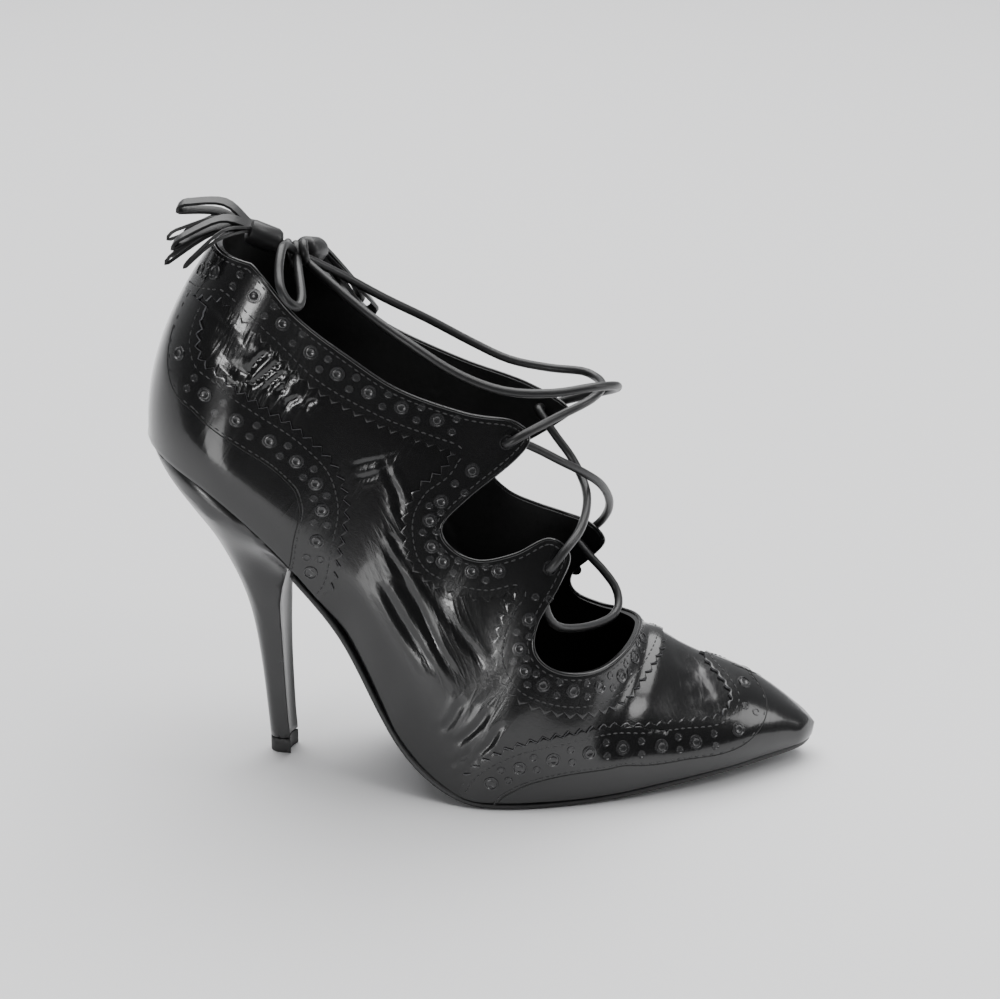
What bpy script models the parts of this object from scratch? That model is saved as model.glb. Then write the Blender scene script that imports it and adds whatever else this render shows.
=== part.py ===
# Lace up heel, a right shoe: pointed toe, high slim heel, cut-out sides and a tied lace.
# Metres, +Z up, +X to the toe, +Y to the inner side. The heel's top piece stands on the origin.
import math

import bmesh
import bpy
from mathutils import Matrix, Vector

# Driving sizes
LENGTH = 0.2133            # heel back to toe tip, on the floor
HEEL_SETBACK = 0.0400      # how far the heel's back stands behind the top piece
SEAT_HEIGHT = 0.1108       # feather edge at the heel's back, above the floor
COLLAR_HEIGHT = 0.1730     # back of the collar above the floor
BALL_WIDTH = 0.0760        # last width at the ball
TOE_SPRING = 0.0050
TOE_DRIFT = 0.0035         # how far the toe tip lies to the outer side
WALL = 0.0016              # upper leather with its lining
OVERLAY = 0.0008           # leather of the overlays
GAP = 0.0003               # between pieces
SEATED = 0.0009            # from the last's surface to the underside of the overlays
SOLE_THICKNESS = 0.0020
SOLE_EDGE = 0.0007         # how far the sole stands out past the feather edge
SOLE_CHAMFER = 0.0008
INSOLE_THICKNESS = 0.0025
TOP_PIECE_HEIGHT = 0.0050
HEEL_TURN = math.radians(-12)     # how far the slim part of the heel is turned about its own line
HEEL_TURN_START = 0.93            # where that turn starts, as a share of SEAT_HEIGHT
HEEL_TURN_SPAN = 0.18             # and over how much of SEAT_HEIGHT it comes in
BREAST_HOLLOW = 0.0012     # how deep the front of the heel is hollowed
LACE = 0.0028              # lace diameter
EYELET = 0.0040
KNOT = 0.0084
KNOT_LONG = 1.15           # length of the knot to its thickness
TASSEL_HEAD = 0.0078       # diameter of the wrapped head
STRIP_WIDTH = 0.0052
STRIP_THICKNESS = 0.0012

# The last, a row for each section from the heel's back to the toe tip.
# at, top_at and bulge are shares of LENGTH, rise of SEAT_HEIGHT, spring of TOE_SPRING,
# top_up of COLLAR_HEIGHT, the widths and the belly of BALL_WIDTH.
SECTION_COLUMNS = ("at", "rise", "spring", "top_at", "top_up", "lateral", "medial",
                   "top_lateral", "top_medial", "closed", "full", "belly", "bulge")
SECTIONS = (
    (0.000, 1.000, 0.00, 0.129, 1.029, 0.342, 0.342, 0.342, 0.342, 0.0, 2.00, 0.026, 0.033),
    (0.047, 0.951, 0.00, 0.159, 1.020, 0.342, 0.342, 0.342, 0.329, 0.0, 2.00, 0.033, 0.030),
    (0.094, 0.894, 0.00, 0.192, 0.983, 0.342, 0.342, 0.349, 0.316, 0.0, 2.00, 0.039, 0.023),
    (0.155, 0.785, 0.00, 0.239, 0.925, 0.346, 0.329, 0.355, 0.316, 0.0, 2.00, 0.039, 0.014),
    (0.206, 0.677, 0.00, 0.286, 0.879, 0.349, 0.307, 0.366, 0.326, 0.0, 2.00, 0.039, 0.007),
    (0.248, 0.569, 0.00, 0.333, 0.832, 0.342, 0.276, 0.368, 0.342, 0.0, 2.00, 0.039, 0.002),
    (0.286, 0.476, 0.00, 0.389, 0.795, 0.342, 0.237, 0.359, 0.349, 0.0, 2.00, 0.053, 0.000),
    (0.319, 0.352, 0.00, 0.459, 0.760, 0.368, 0.217, 0.329, 0.329, 0.0, 2.00, 0.066, 0.000),
    (0.340, 0.255, 0.00, 0.530, 0.740, 0.395, 0.211, 0.289, 0.289, 0.0, 2.00, 0.066, 0.000),
    (0.361, 0.175, 0.00, 0.600, 0.728, 0.434, 0.217, 0.237, 0.237, 0.2, 2.00, 0.066, 0.000),
    (0.389, 0.103, 0.00, 0.647, 0.682, 0.474, 0.243, 0.184, 0.184, 0.7, 2.00, 0.053, 0.000),
    (0.427, 0.043, 0.00, 0.663, 0.607, 0.526, 0.289, 0.105, 0.105, 1.0, 2.00, 0.039, 0.000),
    (0.469, 0.005, 0.00, 0.677, 0.526, 0.579, 0.342, 0.000, 0.000, 1.0, 1.95, 0.026, 0.000),
    (0.516, 0.000, 0.00, 0.694, 0.439, 0.599, 0.382, 0.000, 0.000, 1.0, 1.90, 0.013, 0.000),
    (0.563, 0.000, 0.00, 0.713, 0.347, 0.596, 0.401, 0.000, 0.000, 1.0, 1.80, 0.013, 0.000),
    (0.624, 0.000, 0.00, 0.734, 0.261, 0.566, 0.395, 0.000, 0.000, 1.0, 1.70, 0.013, 0.000),
    (0.689, 0.000, 0.15, 0.769, 0.240, 0.526, 0.349, 0.000, 0.000, 1.0, 1.70, 0.013, 0.000),
    (0.750, 0.000, 0.40, 0.811, 0.210, 0.474, 0.289, 0.000, 0.000, 1.0, 1.70, 0.013, 0.000),
    (0.811, 0.000, 0.64, 0.858, 0.185, 0.414, 0.230, 0.000, 0.000, 1.0, 1.75, 0.013, 0.000),
    (0.872, 0.000, 0.80, 0.902, 0.162, 0.336, 0.164, 0.000, 0.000, 1.0, 1.80, 0.013, 0.000),
    (0.924, 0.000, 0.92, 0.940, 0.132, 0.250, 0.105, 0.000, 0.000, 1.0, 1.85, 0.011, 0.000),
    (0.961, 0.000, 0.97, 0.968, 0.104, 0.184, 0.066, 0.000, 0.000, 1.0, 1.90, 0.007, 0.000),
    (0.985, 0.000, 0.99, 0.989, 0.081, 0.138, 0.039, 0.000, 0.000, 1.0, 2.00, 0.004, 0.000),
    (1.000, 0.000, 1.00, 1.003, 0.061, 0.105, 0.013, 0.000, 0.000, 1.0, 2.00, 0.003, 0.000),
)
BELLY_AT = 0.22            # share of a section's height where it is widest
BELLY_TURN = 0.20          # share of the arch coordinate below the widest line
HEEL_ROUND = 0.122         # the heel's round back, as a share of LENGTH
TOE_ROUND = 0.025          # the toe tip's round, as a share of LENGTH

# The edge of collar, upper tab, cut-out, lower tab and throat in the side view, from the back
# to the front: places are shares of LENGTH, heights of COLLAR_HEIGHT, on the outer and the inner
# side, then the step from there to the pinked edge of the band: outer at and up, inner at and
# up, step at and up.
EDGE = (
    (0.117, 1.001, 0.117, 1.001, -0.048, -0.078),
    (0.170, 0.990, 0.176, 0.972, -0.045, -0.057),
    (0.230, 0.903, 0.234, 0.917, -0.040, -0.039),
    (0.302, 0.832, 0.290, 0.851, -0.047, -0.049),
    (0.374, 0.770, 0.365, 0.787, -0.034, -0.052),
    (0.465, 0.723, 0.471, 0.730, -0.045, -0.047),
    (0.534, 0.702, 0.564, 0.697, -0.078, -0.045),
    (0.559, 0.672, 0.620, 0.664, -0.107, -0.032),
    (0.545, 0.640, 0.600, 0.628, -0.107, -0.024),
    (0.471, 0.570, 0.535, 0.566, -0.066, 0.015),
    (0.434, 0.520, 0.506, 0.522, -0.048, 0.010),
    (0.449, 0.479, 0.530, 0.485, -0.054, -0.022),
    (0.489, 0.458, 0.571, 0.460, -0.059, -0.040),
    (0.540, 0.469, 0.615, 0.440, -0.045, -0.070),
    (0.590, 0.494, 0.655, 0.425, -0.050, -0.085),
    (0.618, 0.465, 0.678, 0.396, -0.069, -0.064),
    (0.605, 0.420, 0.660, 0.350, -0.069, -0.040),
    (0.573, 0.352, 0.634, 0.310, -0.053, -0.022),
    (0.570, 0.301, 0.629, 0.280, -0.051, -0.026),
    (0.601, 0.265, 0.644, 0.254, -0.051, -0.043),
    (0.655, 0.250, 0.680, 0.243, -0.025, -0.062),
    (0.710, 0.257, 0.714, 0.252, 0.000, -0.067),
    (0.733, 0.262, 0.733, 0.262, 0.035, -0.021),
)
# The eyelet in each tab, as shares of LENGTH and COLLAR_HEIGHT
EYELETS = {"upper_lateral": (-1, 0.528, 0.665), "lower_lateral": (-1, 0.592, 0.446),
           "upper_medial": (1, 0.586, 0.660), "lower_medial": (1, 0.650, 0.393)}
# The counter's pinked edge from the feather edge up to the collar band, in the side view,
# and the height on the heel's back, in the last's own arch, that it is joined to.
COUNTER = (
    (0.253, 0.370, 0.00), (0.271, 0.408, 0.08), (0.283, 0.479, 0.16), (0.293, 0.542, 0.22),
    (0.289, 0.589, 0.27), (0.277, 0.628, 0.30), (0.253, 0.664, 0.33), (0.224, 0.696, 0.365),
    (0.183, 0.730, 0.40), (0.143, 0.765, 0.45), (0.116, 0.793, 0.50), (0.094, 0.812, 0.54),
    (0.086, 0.843, 0.58), (0.092, 0.880, 0.62), (0.104, 0.910, 0.66),
)
# The winged toe cap: where each rib leaves the feather edge, and the pinked edge it runs to
WING = (
    (0.462, 0.460, 0.030), (0.485, 0.480, 0.072), (0.515, 0.509, 0.102), (0.560, 0.550, 0.127),
    (0.620, 0.607, 0.142), (0.680, 0.664, 0.145), (0.745, 0.736, 0.136), (0.800, 0.786, 0.132),
    (0.855, 0.839, 0.127), (0.905, 0.862, 0.134), (0.945, 0.873, 0.152), (0.975, 0.860, 0.173),
    (0.990, 0.840, 0.192), (1.000, 0.826, 0.204),
)
# Ways of the lace: places are shares of LENGTH, sides of BALL_WIDTH, heights of COLLAR_HEIGHT
LACE_OUTER_WAY = (
    (0.556, -0.337, 0.684), (0.601, -0.257, 0.703), (0.646, -0.164, 0.719), (0.666, -0.053, 0.723),
    (0.671, 0.053, 0.724), (0.664, 0.132, 0.725), (0.643, 0.188, 0.730), (0.594, 0.237, 0.730),
    (0.534, 0.261, 0.743), (0.478, 0.270, 0.775), (0.413, 0.247, 0.822), (0.347, 0.184, 0.871),
    (0.286, 0.095, 0.925),
)
LACE_INNER_WAY = (
    (0.633, 0.200, 0.676), (0.674, 0.124, 0.699), (0.692, 0.039, 0.717), (0.692, -0.053, 0.734),
    (0.680, -0.138, 0.746), (0.652, -0.211, 0.753), (0.594, -0.261, 0.749), (0.525, -0.280, 0.756),
    (0.459, -0.280, 0.787), (0.394, -0.247, 0.835), (0.333, -0.184, 0.882), (0.281, -0.108, 0.927),
)
CROSS_OUTER_WAY = (
    (0.614, -0.447, 0.482), (0.633, -0.375, 0.502), (0.644, -0.257, 0.514), (0.649, -0.118, 0.526),
    (0.645, 0.008, 0.541), (0.628, 0.079, 0.576), (0.605, 0.092, 0.615), (0.589, 0.113, 0.642),
)
CROSS_INNER_WAY = (
    (0.677, 0.263, 0.422), (0.687, 0.203, 0.457), (0.684, 0.118, 0.495), (0.669, 0.007, 0.538),
    (0.640, -0.097, 0.577), (0.609, -0.166, 0.607), (0.579, -0.200, 0.632), (0.553, -0.226, 0.650),
)
BAR_WAY = (
    (0.586, -0.392, 0.399), (0.587, -0.403, 0.358), (0.605, -0.355, 0.317), (0.645, -0.204, 0.287),
    (0.684, -0.046, 0.274), (0.701, 0.055, 0.281), (0.699, 0.118, 0.306), (0.681, 0.137, 0.338),
    (0.659, 0.147, 0.368),
)
BOW_WAY = (
    (0.215, -0.118, 1.002), (0.211, -0.197, 1.007), (0.209, -0.270, 0.994), (0.209, -0.329, 0.976),
    (0.213, -0.392, 0.957), (0.223, -0.413, 0.936), (0.236, -0.395, 0.924), (0.240, -0.337, 0.932),
    (0.236, -0.250, 0.950), (0.231, -0.158, 0.965),
)
# The knot's centre and the wrapped heads of the two tassels, then each strip: where it bends over
# the rim and where it ends. All in the same shares.
KNOT_AT = (0.225, -0.013, 0.977)
BACK_HEAD = ((0.203, -0.024, 0.997), (0.157, -0.050, 1.023))
BACK_STRIPS = (
    ((0.113, -0.145, 1.017), (0.061, -0.243, 0.969)),
    ((0.110, -0.099, 1.020), (0.047, -0.164, 0.971)),
    ((0.109, -0.050, 1.021), (0.040, -0.079, 0.976)),
    ((0.110, 0.000, 1.020), (0.042, 0.011, 0.971)),
    ((0.113, 0.050, 1.017), (0.054, 0.100, 0.969)),
)
SIDE_HEAD = ((0.233, 0.058, 0.976), (0.251, 0.171, 0.962))
SIDE_STRIPS = (
    ((0.241, 0.324, 0.927), (0.236, 0.421, 0.896)),
    ((0.256, 0.329, 0.910), (0.256, 0.439, 0.873)),
    ((0.272, 0.334, 0.891), (0.277, 0.445, 0.852)),
    ((0.288, 0.337, 0.874), (0.298, 0.439, 0.835)),
    ((0.304, 0.337, 0.858), (0.321, 0.421, 0.823)),
)
# The heel below its seat: x of back and breast and the height of each as shares of HEEL_SETBACK
# and SEAT_HEIGHT, and the half widths of the bulk and of the breast's front as shares of BALL_WIDTH
HEEL_COLUMNS = ("back_at", "back_up", "front_at", "front_up", "bulk", "front")
HEEL = (
    (-0.955, 0.950, 0.095, 0.640, 0.318, 0.235),
    (-0.860, 0.895, 0.075, 0.600, 0.262, 0.165),
    (-0.740, 0.838, 0.060, 0.560, 0.208, 0.125),
    (-0.570, 0.750, 0.045, 0.500, 0.150, 0.100),
    (-0.400, 0.625, 0.040, 0.425, 0.112, 0.082),
    (-0.275, 0.510, 0.038, 0.350, 0.090, 0.072),
    (-0.215, 0.390, 0.040, 0.275, 0.076, 0.067),
    (-0.175, 0.260, 0.046, 0.195, 0.068, 0.064),
    (-0.150, 0.140, 0.052, 0.118, 0.062, 0.060),
    (-0.133, 0.048, 0.066, 0.048, 0.059, 0.058),
)


def new_scene():
    for old in list(bpy.data.objects):
        bpy.data.objects.remove(old, do_unlink=True)
    shoe = bpy.data.collections.new("lace_up_heel")
    cutters = bpy.data.collections.new("cutters")
    for group in (shoe, cutters):
        bpy.context.scene.collection.children.link(group)
    return shoe, cutters


def finish(name, colour, roughness, metallic=0.0):
    made = bpy.data.materials.new(name)
    made.use_nodes = True
    shader = made.node_tree.nodes["Principled BSDF"]
    shader.inputs["Base Color"].default_value = (*colour, 1.0)
    shader.inputs["Roughness"].default_value = roughness
    shader.inputs["Metallic"].default_value = metallic
    return made


SHOE, CUTTERS = new_scene()
GLOSSY_LEATHER = finish("glossy_leather", (0.012, 0.012, 0.013), 0.25)
LINING_LEATHER = finish("lining_leather", (0.010, 0.010, 0.010), 0.70)
COVERED_HEEL = finish("covered_heel", (0.030, 0.030, 0.032), 0.40)
SOLE_RUBBER = finish("sole_rubber", (0.018, 0.018, 0.018), 0.60)
LACE_LEATHER = finish("lace_leather", (0.020, 0.020, 0.020), 0.50)


def smooth_value(xs, ys, x):
    """A smooth curve through the points (xs, ys), read at x."""
    if x <= xs[0]:
        return ys[0]
    if x >= xs[-1]:
        return ys[-1]
    i = max(k for k in range(len(xs) - 1) if xs[k] <= x)
    slope = []
    for k in (i, i + 1):
        low, high = max(k - 1, 0), min(k + 1, len(xs) - 1)
        slope.append((ys[high] - ys[low]) / (xs[high] - xs[low]))
    step = xs[i + 1] - xs[i]
    t = (x - xs[i]) / step
    return ((2 * t ** 3 - 3 * t ** 2 + 1) * ys[i] + (t ** 3 - 2 * t ** 2 + t) * step * slope[0]
            + (3 * t ** 2 - 2 * t ** 3) * ys[i + 1] + (t ** 3 - t ** 2) * step * slope[1])


SECTION_AT = [row[0] for row in SECTIONS]
SECTION_VALUES = {name: [row[i] for row in SECTIONS] for i, name in enumerate(SECTION_COLUMNS)}


def section(at):
    return {name: smooth_value(SECTION_AT, values, at) for name, values in SECTION_VALUES.items()}


def ease(t):
    t = min(max(t, 0.0), 1.0)
    return t * t * (3 - 2 * t)


def closure(at):
    """Share of a section's width that is left in the round of the heel and of the toe."""
    if at < HEEL_ROUND:
        return math.sqrt(max(0.0, 1 - (1 - at / HEEL_ROUND) ** 2))
    if at > 1 - TOE_ROUND:
        return math.sqrt(max(0.0, 1 - ((at - 1 + TOE_ROUND) / TOE_ROUND) ** 2))
    return 1.0


FOOT_BASE = SOLE_THICKNESS + GAP
INNER_END = 0.974          # where the toe's inner wall ends, as a share of LENGTH


def foot_line(at):
    """The last's bottom edge in the side view: x and z."""
    row = section(at)
    z = FOOT_BASE + row["rise"] * (SEAT_HEIGHT - FOOT_BASE) + row["spring"] * TOE_SPRING
    return -HEEL_SETBACK + at * LENGTH, z


def centre_line(at):
    return -TOE_DRIFT * ease((at - 0.6) / 0.4)


def last_point(at, arch, side, left=None, inset=0.0):
    """A point of the last. arch is 0 at the feather edge and 1 at the ridge or the top,
    side is -1 on the outer side and 1 on the inner side, and inset moves it inwards."""
    row = section(at)
    left = closure(at) if left is None else left
    edge, top = ("lateral", "top_lateral") if side < 0 else ("medial", "top_medial")
    middle = centre_line(at)
    foot = row[edge] * BALL_WIDTH - side * middle
    belly = foot + row["belly"] * BALL_WIDTH
    crown = row[top] * BALL_WIDTH
    if arch < BELLY_TURN:
        t = arch / BELLY_TURN
        height = BELLY_AT * t
        width = foot + (belly - foot) * math.sin(t * math.pi / 2)
    else:
        t = (arch - BELLY_TURN) / (1 - BELLY_TURN)
        power = 2 / row["full"]
        round_height = BELLY_AT + (1 - BELLY_AT) * math.sin(t * math.pi / 2) ** power
        round_width = belly * max(math.cos(t * math.pi / 2), 0.0) ** power
        straight_height = BELLY_AT + (1 - BELLY_AT) * t
        straight_width = belly + (crown - belly) * t ** 1.5
        height = straight_height + row["closed"] * (round_height - straight_height)
        width = straight_width + row["closed"] * (round_width - straight_width)
    foot_x, foot_z = foot_line(at)
    top_x = -HEEL_SETBACK + row["top_at"] * LENGTH
    top_z = row["top_up"] * COLLAR_HEIGHT
    reach = math.hypot(top_x - foot_x, top_z - foot_z)
    height *= 1 - row["closed"] * inset / reach
    x = foot_x + height * (top_x - foot_x) - row["bulge"] * LENGTH * 4 * height * (1 - height)
    z = foot_z + height * (top_z - foot_z)
    return Vector((x, middle + side * max(width * left - inset * left, 0.0), z))


def stations(steps, start=0.0, end=1.0):
    """Places along the last: close together in the rounds of heel and toe."""
    back = [HEEL_ROUND * (1 - math.cos(math.pi / 2 * k / 7)) for k in range(8)]
    front = [1 - TOE_ROUND + TOE_ROUND * math.sin(math.pi / 2 * k / 3) for k in range(4)]
    middle = [HEEL_ROUND + (1 - TOE_ROUND - HEEL_ROUND) * k / steps for k in range(1, steps)]
    every = back + middle + front
    return [start + (end - start) * at for at in every], [closure(at) for at in every]


def add_object(name, bm, material, group=None):
    mesh = bpy.data.meshes.new(name)
    bm.to_mesh(mesh)
    bm.free()
    made = bpy.data.objects.new(name, mesh)
    (group or SHOE).objects.link(made)
    if material:
        mesh.materials.append(material)
    mesh.shade_smooth()
    mesh.set_sharp_from_angle(angle=math.radians(35))
    return made


def weld(bm):
    bmesh.ops.remove_doubles(bm, verts=bm.verts, dist=0.00001)
    bmesh.ops.dissolve_degenerate(bm, edges=bm.edges, dist=0.000005)
    bmesh.ops.recalc_face_normals(bm, faces=bm.faces)


def skin(bm, rows, close_rows=False):
    """Faces between rows of vertices that hold as many points each."""
    pairs = list(zip(rows, rows[1:])) + ([(rows[-1], rows[0])] if close_rows else [])
    for one, two in pairs:
        for j in range(len(one) - 1):
            ring = [one[j], two[j], two[j + 1], one[j + 1]]
            if len(set(ring)) == 4:
                bm.faces.new(ring)


def thick_patch(name, ribs, inner, outer, material, close_rows=False):
    """A solid between two offsets of the surface that the ribs lie on."""
    bm = bmesh.new()
    skin(bm, [[bm.verts.new(p) for p in rib] for rib in ribs], close_rows)
    weld(bm)
    bm.normal_update()
    if sum(v.normal.y * v.co.y for v in bm.verts) < 0:
        bmesh.ops.reverse_faces(bm, faces=bm.faces)
        bm.normal_update()
    for v, normal in [(v, v.normal.copy()) for v in bm.verts]:
        v.co += normal * inner
    made = add_object(name, bm, material)
    shell = made.modifiers.new("thickness", "SOLIDIFY")
    shell.thickness = outer - inner
    shell.offset = 1.0
    return made


def cut(target, cutter, operation="DIFFERENCE"):
    cutter.hide_render = True
    cutter.display_type = "WIRE"
    boolean = target.modifiers.new(cutter.name, "BOOLEAN")
    boolean.object = cutter
    boolean.operation = operation
    boolean.solver = "EXACT"


def make_upper():
    """Outer and inner skins of the last, joined along the feather edge and the open top."""
    arches = (0.0, 0.10, 0.20, 0.32, 0.46, 0.60, 0.74, 0.88, 1.0)
    outer_at, left = stations(24)
    inner_at, _ = stations(24, (WALL + GAP) / LENGTH, INNER_END)
    bm = bmesh.new()
    skins = {}
    for layer, places, inset in (("outer", outer_at, 0.0), ("inner", inner_at, WALL)):
        for side in (-1, 1):
            skins[layer, side] = [
                [bm.verts.new(last_point(at, arch, side, share, inset)) for arch in arches]
                for at, share in zip(places, left)]
            skin(bm, skins[layer, side])
    for side in (-1, 1):
        for arch in (0, -1):
            rim = [[skins["outer", side][k][arch], skins["inner", side][k][arch]]
                   for k in range(len(outer_at))
                   if arch == 0 or section(outer_at[k])["closed"] < 1.0
                   or section(outer_at[k - 1])["closed"] < 1.0]
            skin(bm, rim)
    weld(bm)
    return add_object("upper", bm, GLOSSY_LEATHER)


def smooth_path(points, per_step, closed=False):
    """Points on a smooth curve through the given ones."""
    count = len(points)
    path = []
    for i in range(count if closed else count - 1):
        if closed:
            p = [points[(i + k) % count] for k in (-1, 0, 1, 2)]
        else:
            p = [points[min(max(i + k, 0), count - 1)] for k in (-1, 0, 1, 2)]
        for step in range(per_step):
            t = step / per_step
            path.append(tuple(
                0.5 * (2 * b + (c - a) * t + (2 * a - 5 * b + 4 * c - d) * t ** 2
                       + (3 * b - a - 3 * c + d) * t ** 3)
                for a, b, c, d in zip(*p)))
    if not closed:
        path.append(tuple(points[-1]))
    return path


SAMPLES_AT = [k / 60 for k in range(61)]
SAMPLES_ARCH = [k / 20 for k in range(21)]
SAMPLES = {side: [(last_point(at, arch, side), at, arch) for at in SAMPLES_AT for arch in SAMPLES_ARCH]
           for side in (-1, 1)}


def find_on_last(along, up, side):
    """The place along the last and the arch of a point of the side view."""
    x, z = -HEEL_SETBACK + along * LENGTH, up * COLLAR_HEIGHT
    _, at, arch = min(SAMPLES[side], key=lambda s: (s[0].x - x) ** 2 + (s[0].z - z) ** 2)
    step = 0.0005
    for _ in range(8):
        here = last_point(at, arch, side)
        back_at, back_arch = (at > 0.5) * 2 - 1, (arch > 0.5) * 2 - 1
        by_at = (here - last_point(at - back_at * step, arch, side)) * (back_at / step)
        by_arch = (here - last_point(at, arch - back_arch * step, side)) * (back_arch / step)
        span = by_at.x * by_arch.z - by_at.z * by_arch.x
        if abs(span) < 1e-9:
            break
        dx, dz = x - here.x, z - here.z
        at = min(max(at + (dx * by_arch.z - dz * by_arch.x) / span, 0.0), 1.0)
        arch = min(max(arch + (by_at.x * dz - by_at.z * dx) / span, 0.0), 1.0)
    return at, arch


def beside(along, up, side, off):
    """A point off the last's surface, and the surface's outward direction there."""
    at, arch = find_on_last(along, up, side)
    at, arch, step = min(max(at, 0.01), 0.99), min(max(arch, 0.01), 0.99), 0.004
    one = last_point(at + step, arch, side) - last_point(at - step, arch, side)
    two = last_point(at, arch + step, side) - last_point(at, arch - step, side)
    out = one.cross(two).normalized()
    out *= 1 if out.y * side > 0 else -1
    return last_point(at, arch, side) + out * off, out


def side_view(shares):
    return [(-HEEL_SETBACK + along * LENGTH, up * COLLAR_HEIGHT) for along, up in shares]


def back_arch(up):
    """The arch at which the heel's back line has that height."""
    low, high = 0.0, 1.0
    for _ in range(20):
        middle = (low + high) / 2
        if last_point(0.0, middle, -1).z < up * COLLAR_HEIGHT:
            low = middle
        else:
            high = middle
    return low


def edge_path(side, band=False, steps=2):
    """The upper's edge, or the band's pinked edge, as shares of the side view."""
    first = 0 if side < 0 else 2
    points = [(row[first] + band * row[4], row[first + 1] + band * row[5]) for row in EDGE]
    centre_x = last_point(0.0, back_arch(points[0][1]), side).x
    points[0] = ((centre_x + HEEL_SETBACK) / LENGTH, points[0][1])
    path = smooth_path(points, steps)
    (along, up), (next_along, next_up) = path[:2]
    round_back = [(along + t ** 2 * (next_along - along), up + t ** 2 * (next_up - up))
                  for t in (0.25, 0.5, 0.75)]
    (along, up), (next_along, next_up) = path[-1], path[-2]
    over_ridge = [(along + t ** 2 * (next_along - along), up + t ** 2 * (next_up - up))
                  for t in (0.75, 0.5, 0.25)]
    return path[:1] + round_back + path[1:-1] + over_ridge + path[-1:]


def make_opening():
    """The cutter for collar, cut-outs and throat: the outer outline turns into the inner one."""
    far = BALL_WIDTH
    near = 0.004
    above = COLLAR_HEIGHT * 1.4
    bm = bmesh.new()
    rings = []
    for y, side in ((-far, -1), (-near, -1), (near, 1), (far, 1)):
        outline = side_view(edge_path(side))
        back, front = outline[0], outline[-1]
        frame = [(front[0] + 0.001, front[1] + 0.012), (LENGTH, above), (-2 * HEEL_SETBACK, above),
                 (back[0] - 0.02, back[1] + 0.001)]
        rings.append([bm.verts.new((x, y, z)) for x, z in outline + frame])
    for one, two in zip(rings, rings[1:]):
        for j in range(len(one)):
            k = (j + 1) % len(one)
            bm.faces.new([one[j], one[k], two[k], two[j]])
    bm.faces.new(rings[0])
    bm.faces.new(rings[-1])
    bmesh.ops.recalc_face_normals(bm, faces=bm.faces)
    return add_object("opening_cutter", bm, None, CUTTERS)


def make_eyelet_holes():
    """One cutter with a pin through each tab."""
    bm = bmesh.new()
    for side, along, up in EYELETS.values():
        place, out = beside(along, up, side, 0)
        pin = bmesh.ops.create_cone(bm, cap_ends=True, segments=12, radius1=EYELET / 2,
                                    radius2=EYELET / 2, depth=6 * WALL)
        turn = Vector((0, 0, 1)).rotation_difference(out).to_matrix().to_4x4()
        turn.translation = place
        bmesh.ops.transform(bm, matrix=turn, verts=pin["verts"])
    return add_object("eyelet_cutter", bm, None, CUTTERS)


def make_band():
    """The brogued band along the whole edge, one closed ring with its four tabs."""
    across = (0.0, 0.3, 0.65, 1.0)
    ribs = []
    for side in (-1, 1):
        edge, pinked = edge_path(side), edge_path(side, band=True)
        run = []
        for k, (one, two) in enumerate(zip(edge, pinked)):
            ends = [find_on_last(*one, side), find_on_last(*two, side)]
            if k == 0:
                ends = [(0.0, back_arch(one[1])), (0.0, back_arch(two[1]))]
            if k == len(edge) - 1:
                ends = [(at, 1.0) for at, arch in ends]
            run.append([last_point(ends[0][0] + t * (ends[1][0] - ends[0][0]),
                                   ends[0][1] + t * (ends[1][1] - ends[0][1]), side) for t in across])
        ribs += run if side < 0 else run[-2:0:-1]
    return thick_patch("eyestay_band", ribs, SEATED, SEATED + OVERLAY, GLOSSY_LEATHER, close_rows=True)


def foot_arch(at, rise):
    """The arch that lies that far above the feather edge."""
    row = section(at)
    foot_x, foot_z = foot_line(at)
    reach = math.hypot(row["top_at"] * LENGTH - HEEL_SETBACK - foot_x, row["top_up"] * COLLAR_HEIGHT - foot_z)
    return BELLY_TURN * rise / (BELLY_AT * reach)


FEATHER_LIFT = 0.0006      # how far the overlays end above the feather edge
SMALLEST_SHARE = 0.06      # a plate's width at its round ends, as a share of the footprint's


def make_counter():
    """Levels round the heel, from the feather edge up to the collar band."""
    steps = (1.0, 0.88, 0.76, 0.64, 0.52, 0.4, 0.28, 0.14)
    levels = []
    for along, up, back in COUNTER:
        level = []
        for side in (-1, 1):
            at, arch = find_on_last(along, up, side)
            half = []
            for t in steps:
                along_half = at * t ** 2
                rise = max(back + (arch - back) * t ** 2, foot_arch(along_half, FEATHER_LIFT))
                half.append(last_point(along_half, rise, side))
            level += half if side < 0 else half[::-1]
            if side < 0:
                level.append(last_point(0.0, max(back, foot_arch(0.0, FEATHER_LIFT)), side))
        levels.append(level)
    return thick_patch("heel_counter", levels, SEATED, SEATED + OVERLAY, GLOSSY_LEATHER)


def make_toe_cap():
    """Ribs from the feather edge up and back to the winged pinked edge."""
    up_and_back = ((0, 0), (0, 0.25), (0, 0.5), (0, 0.72), (0, 0.88), (0, 1), (0.25, 1), (0.5, 1),
                   (0.75, 1), (1, 1))
    ribs = []
    for side in (-1, 1):
        run = []
        for foot, along, up in WING:
            at, arch = find_on_last(along, up, side)
            low = foot_arch(foot, FEATHER_LIFT)
            if foot == 1.0:
                arch = 1.0
            run.append([last_point(foot + back * (at - foot), low + rise * (arch - low), side)
                        for back, rise in up_and_back])
        ribs += run if side < 0 else run[-2::-1]
    return thick_patch("toe_cap", ribs, SEATED, SEATED + OVERLAY, GLOSSY_LEATHER)


def foot_frame(at):
    """A point of the foot line and the direction square to it, upwards, in the side view."""
    step = 0.004
    one, two = foot_line(max(at - step, 0.0)), foot_line(min(at + step, 1.0))
    run = Vector((two[0] - one[0], 0, two[1] - one[1])).normalized()
    x, z = foot_line(at)
    return Vector((x, 0, z)), Vector((-run.z, 0, run.x))


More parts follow.
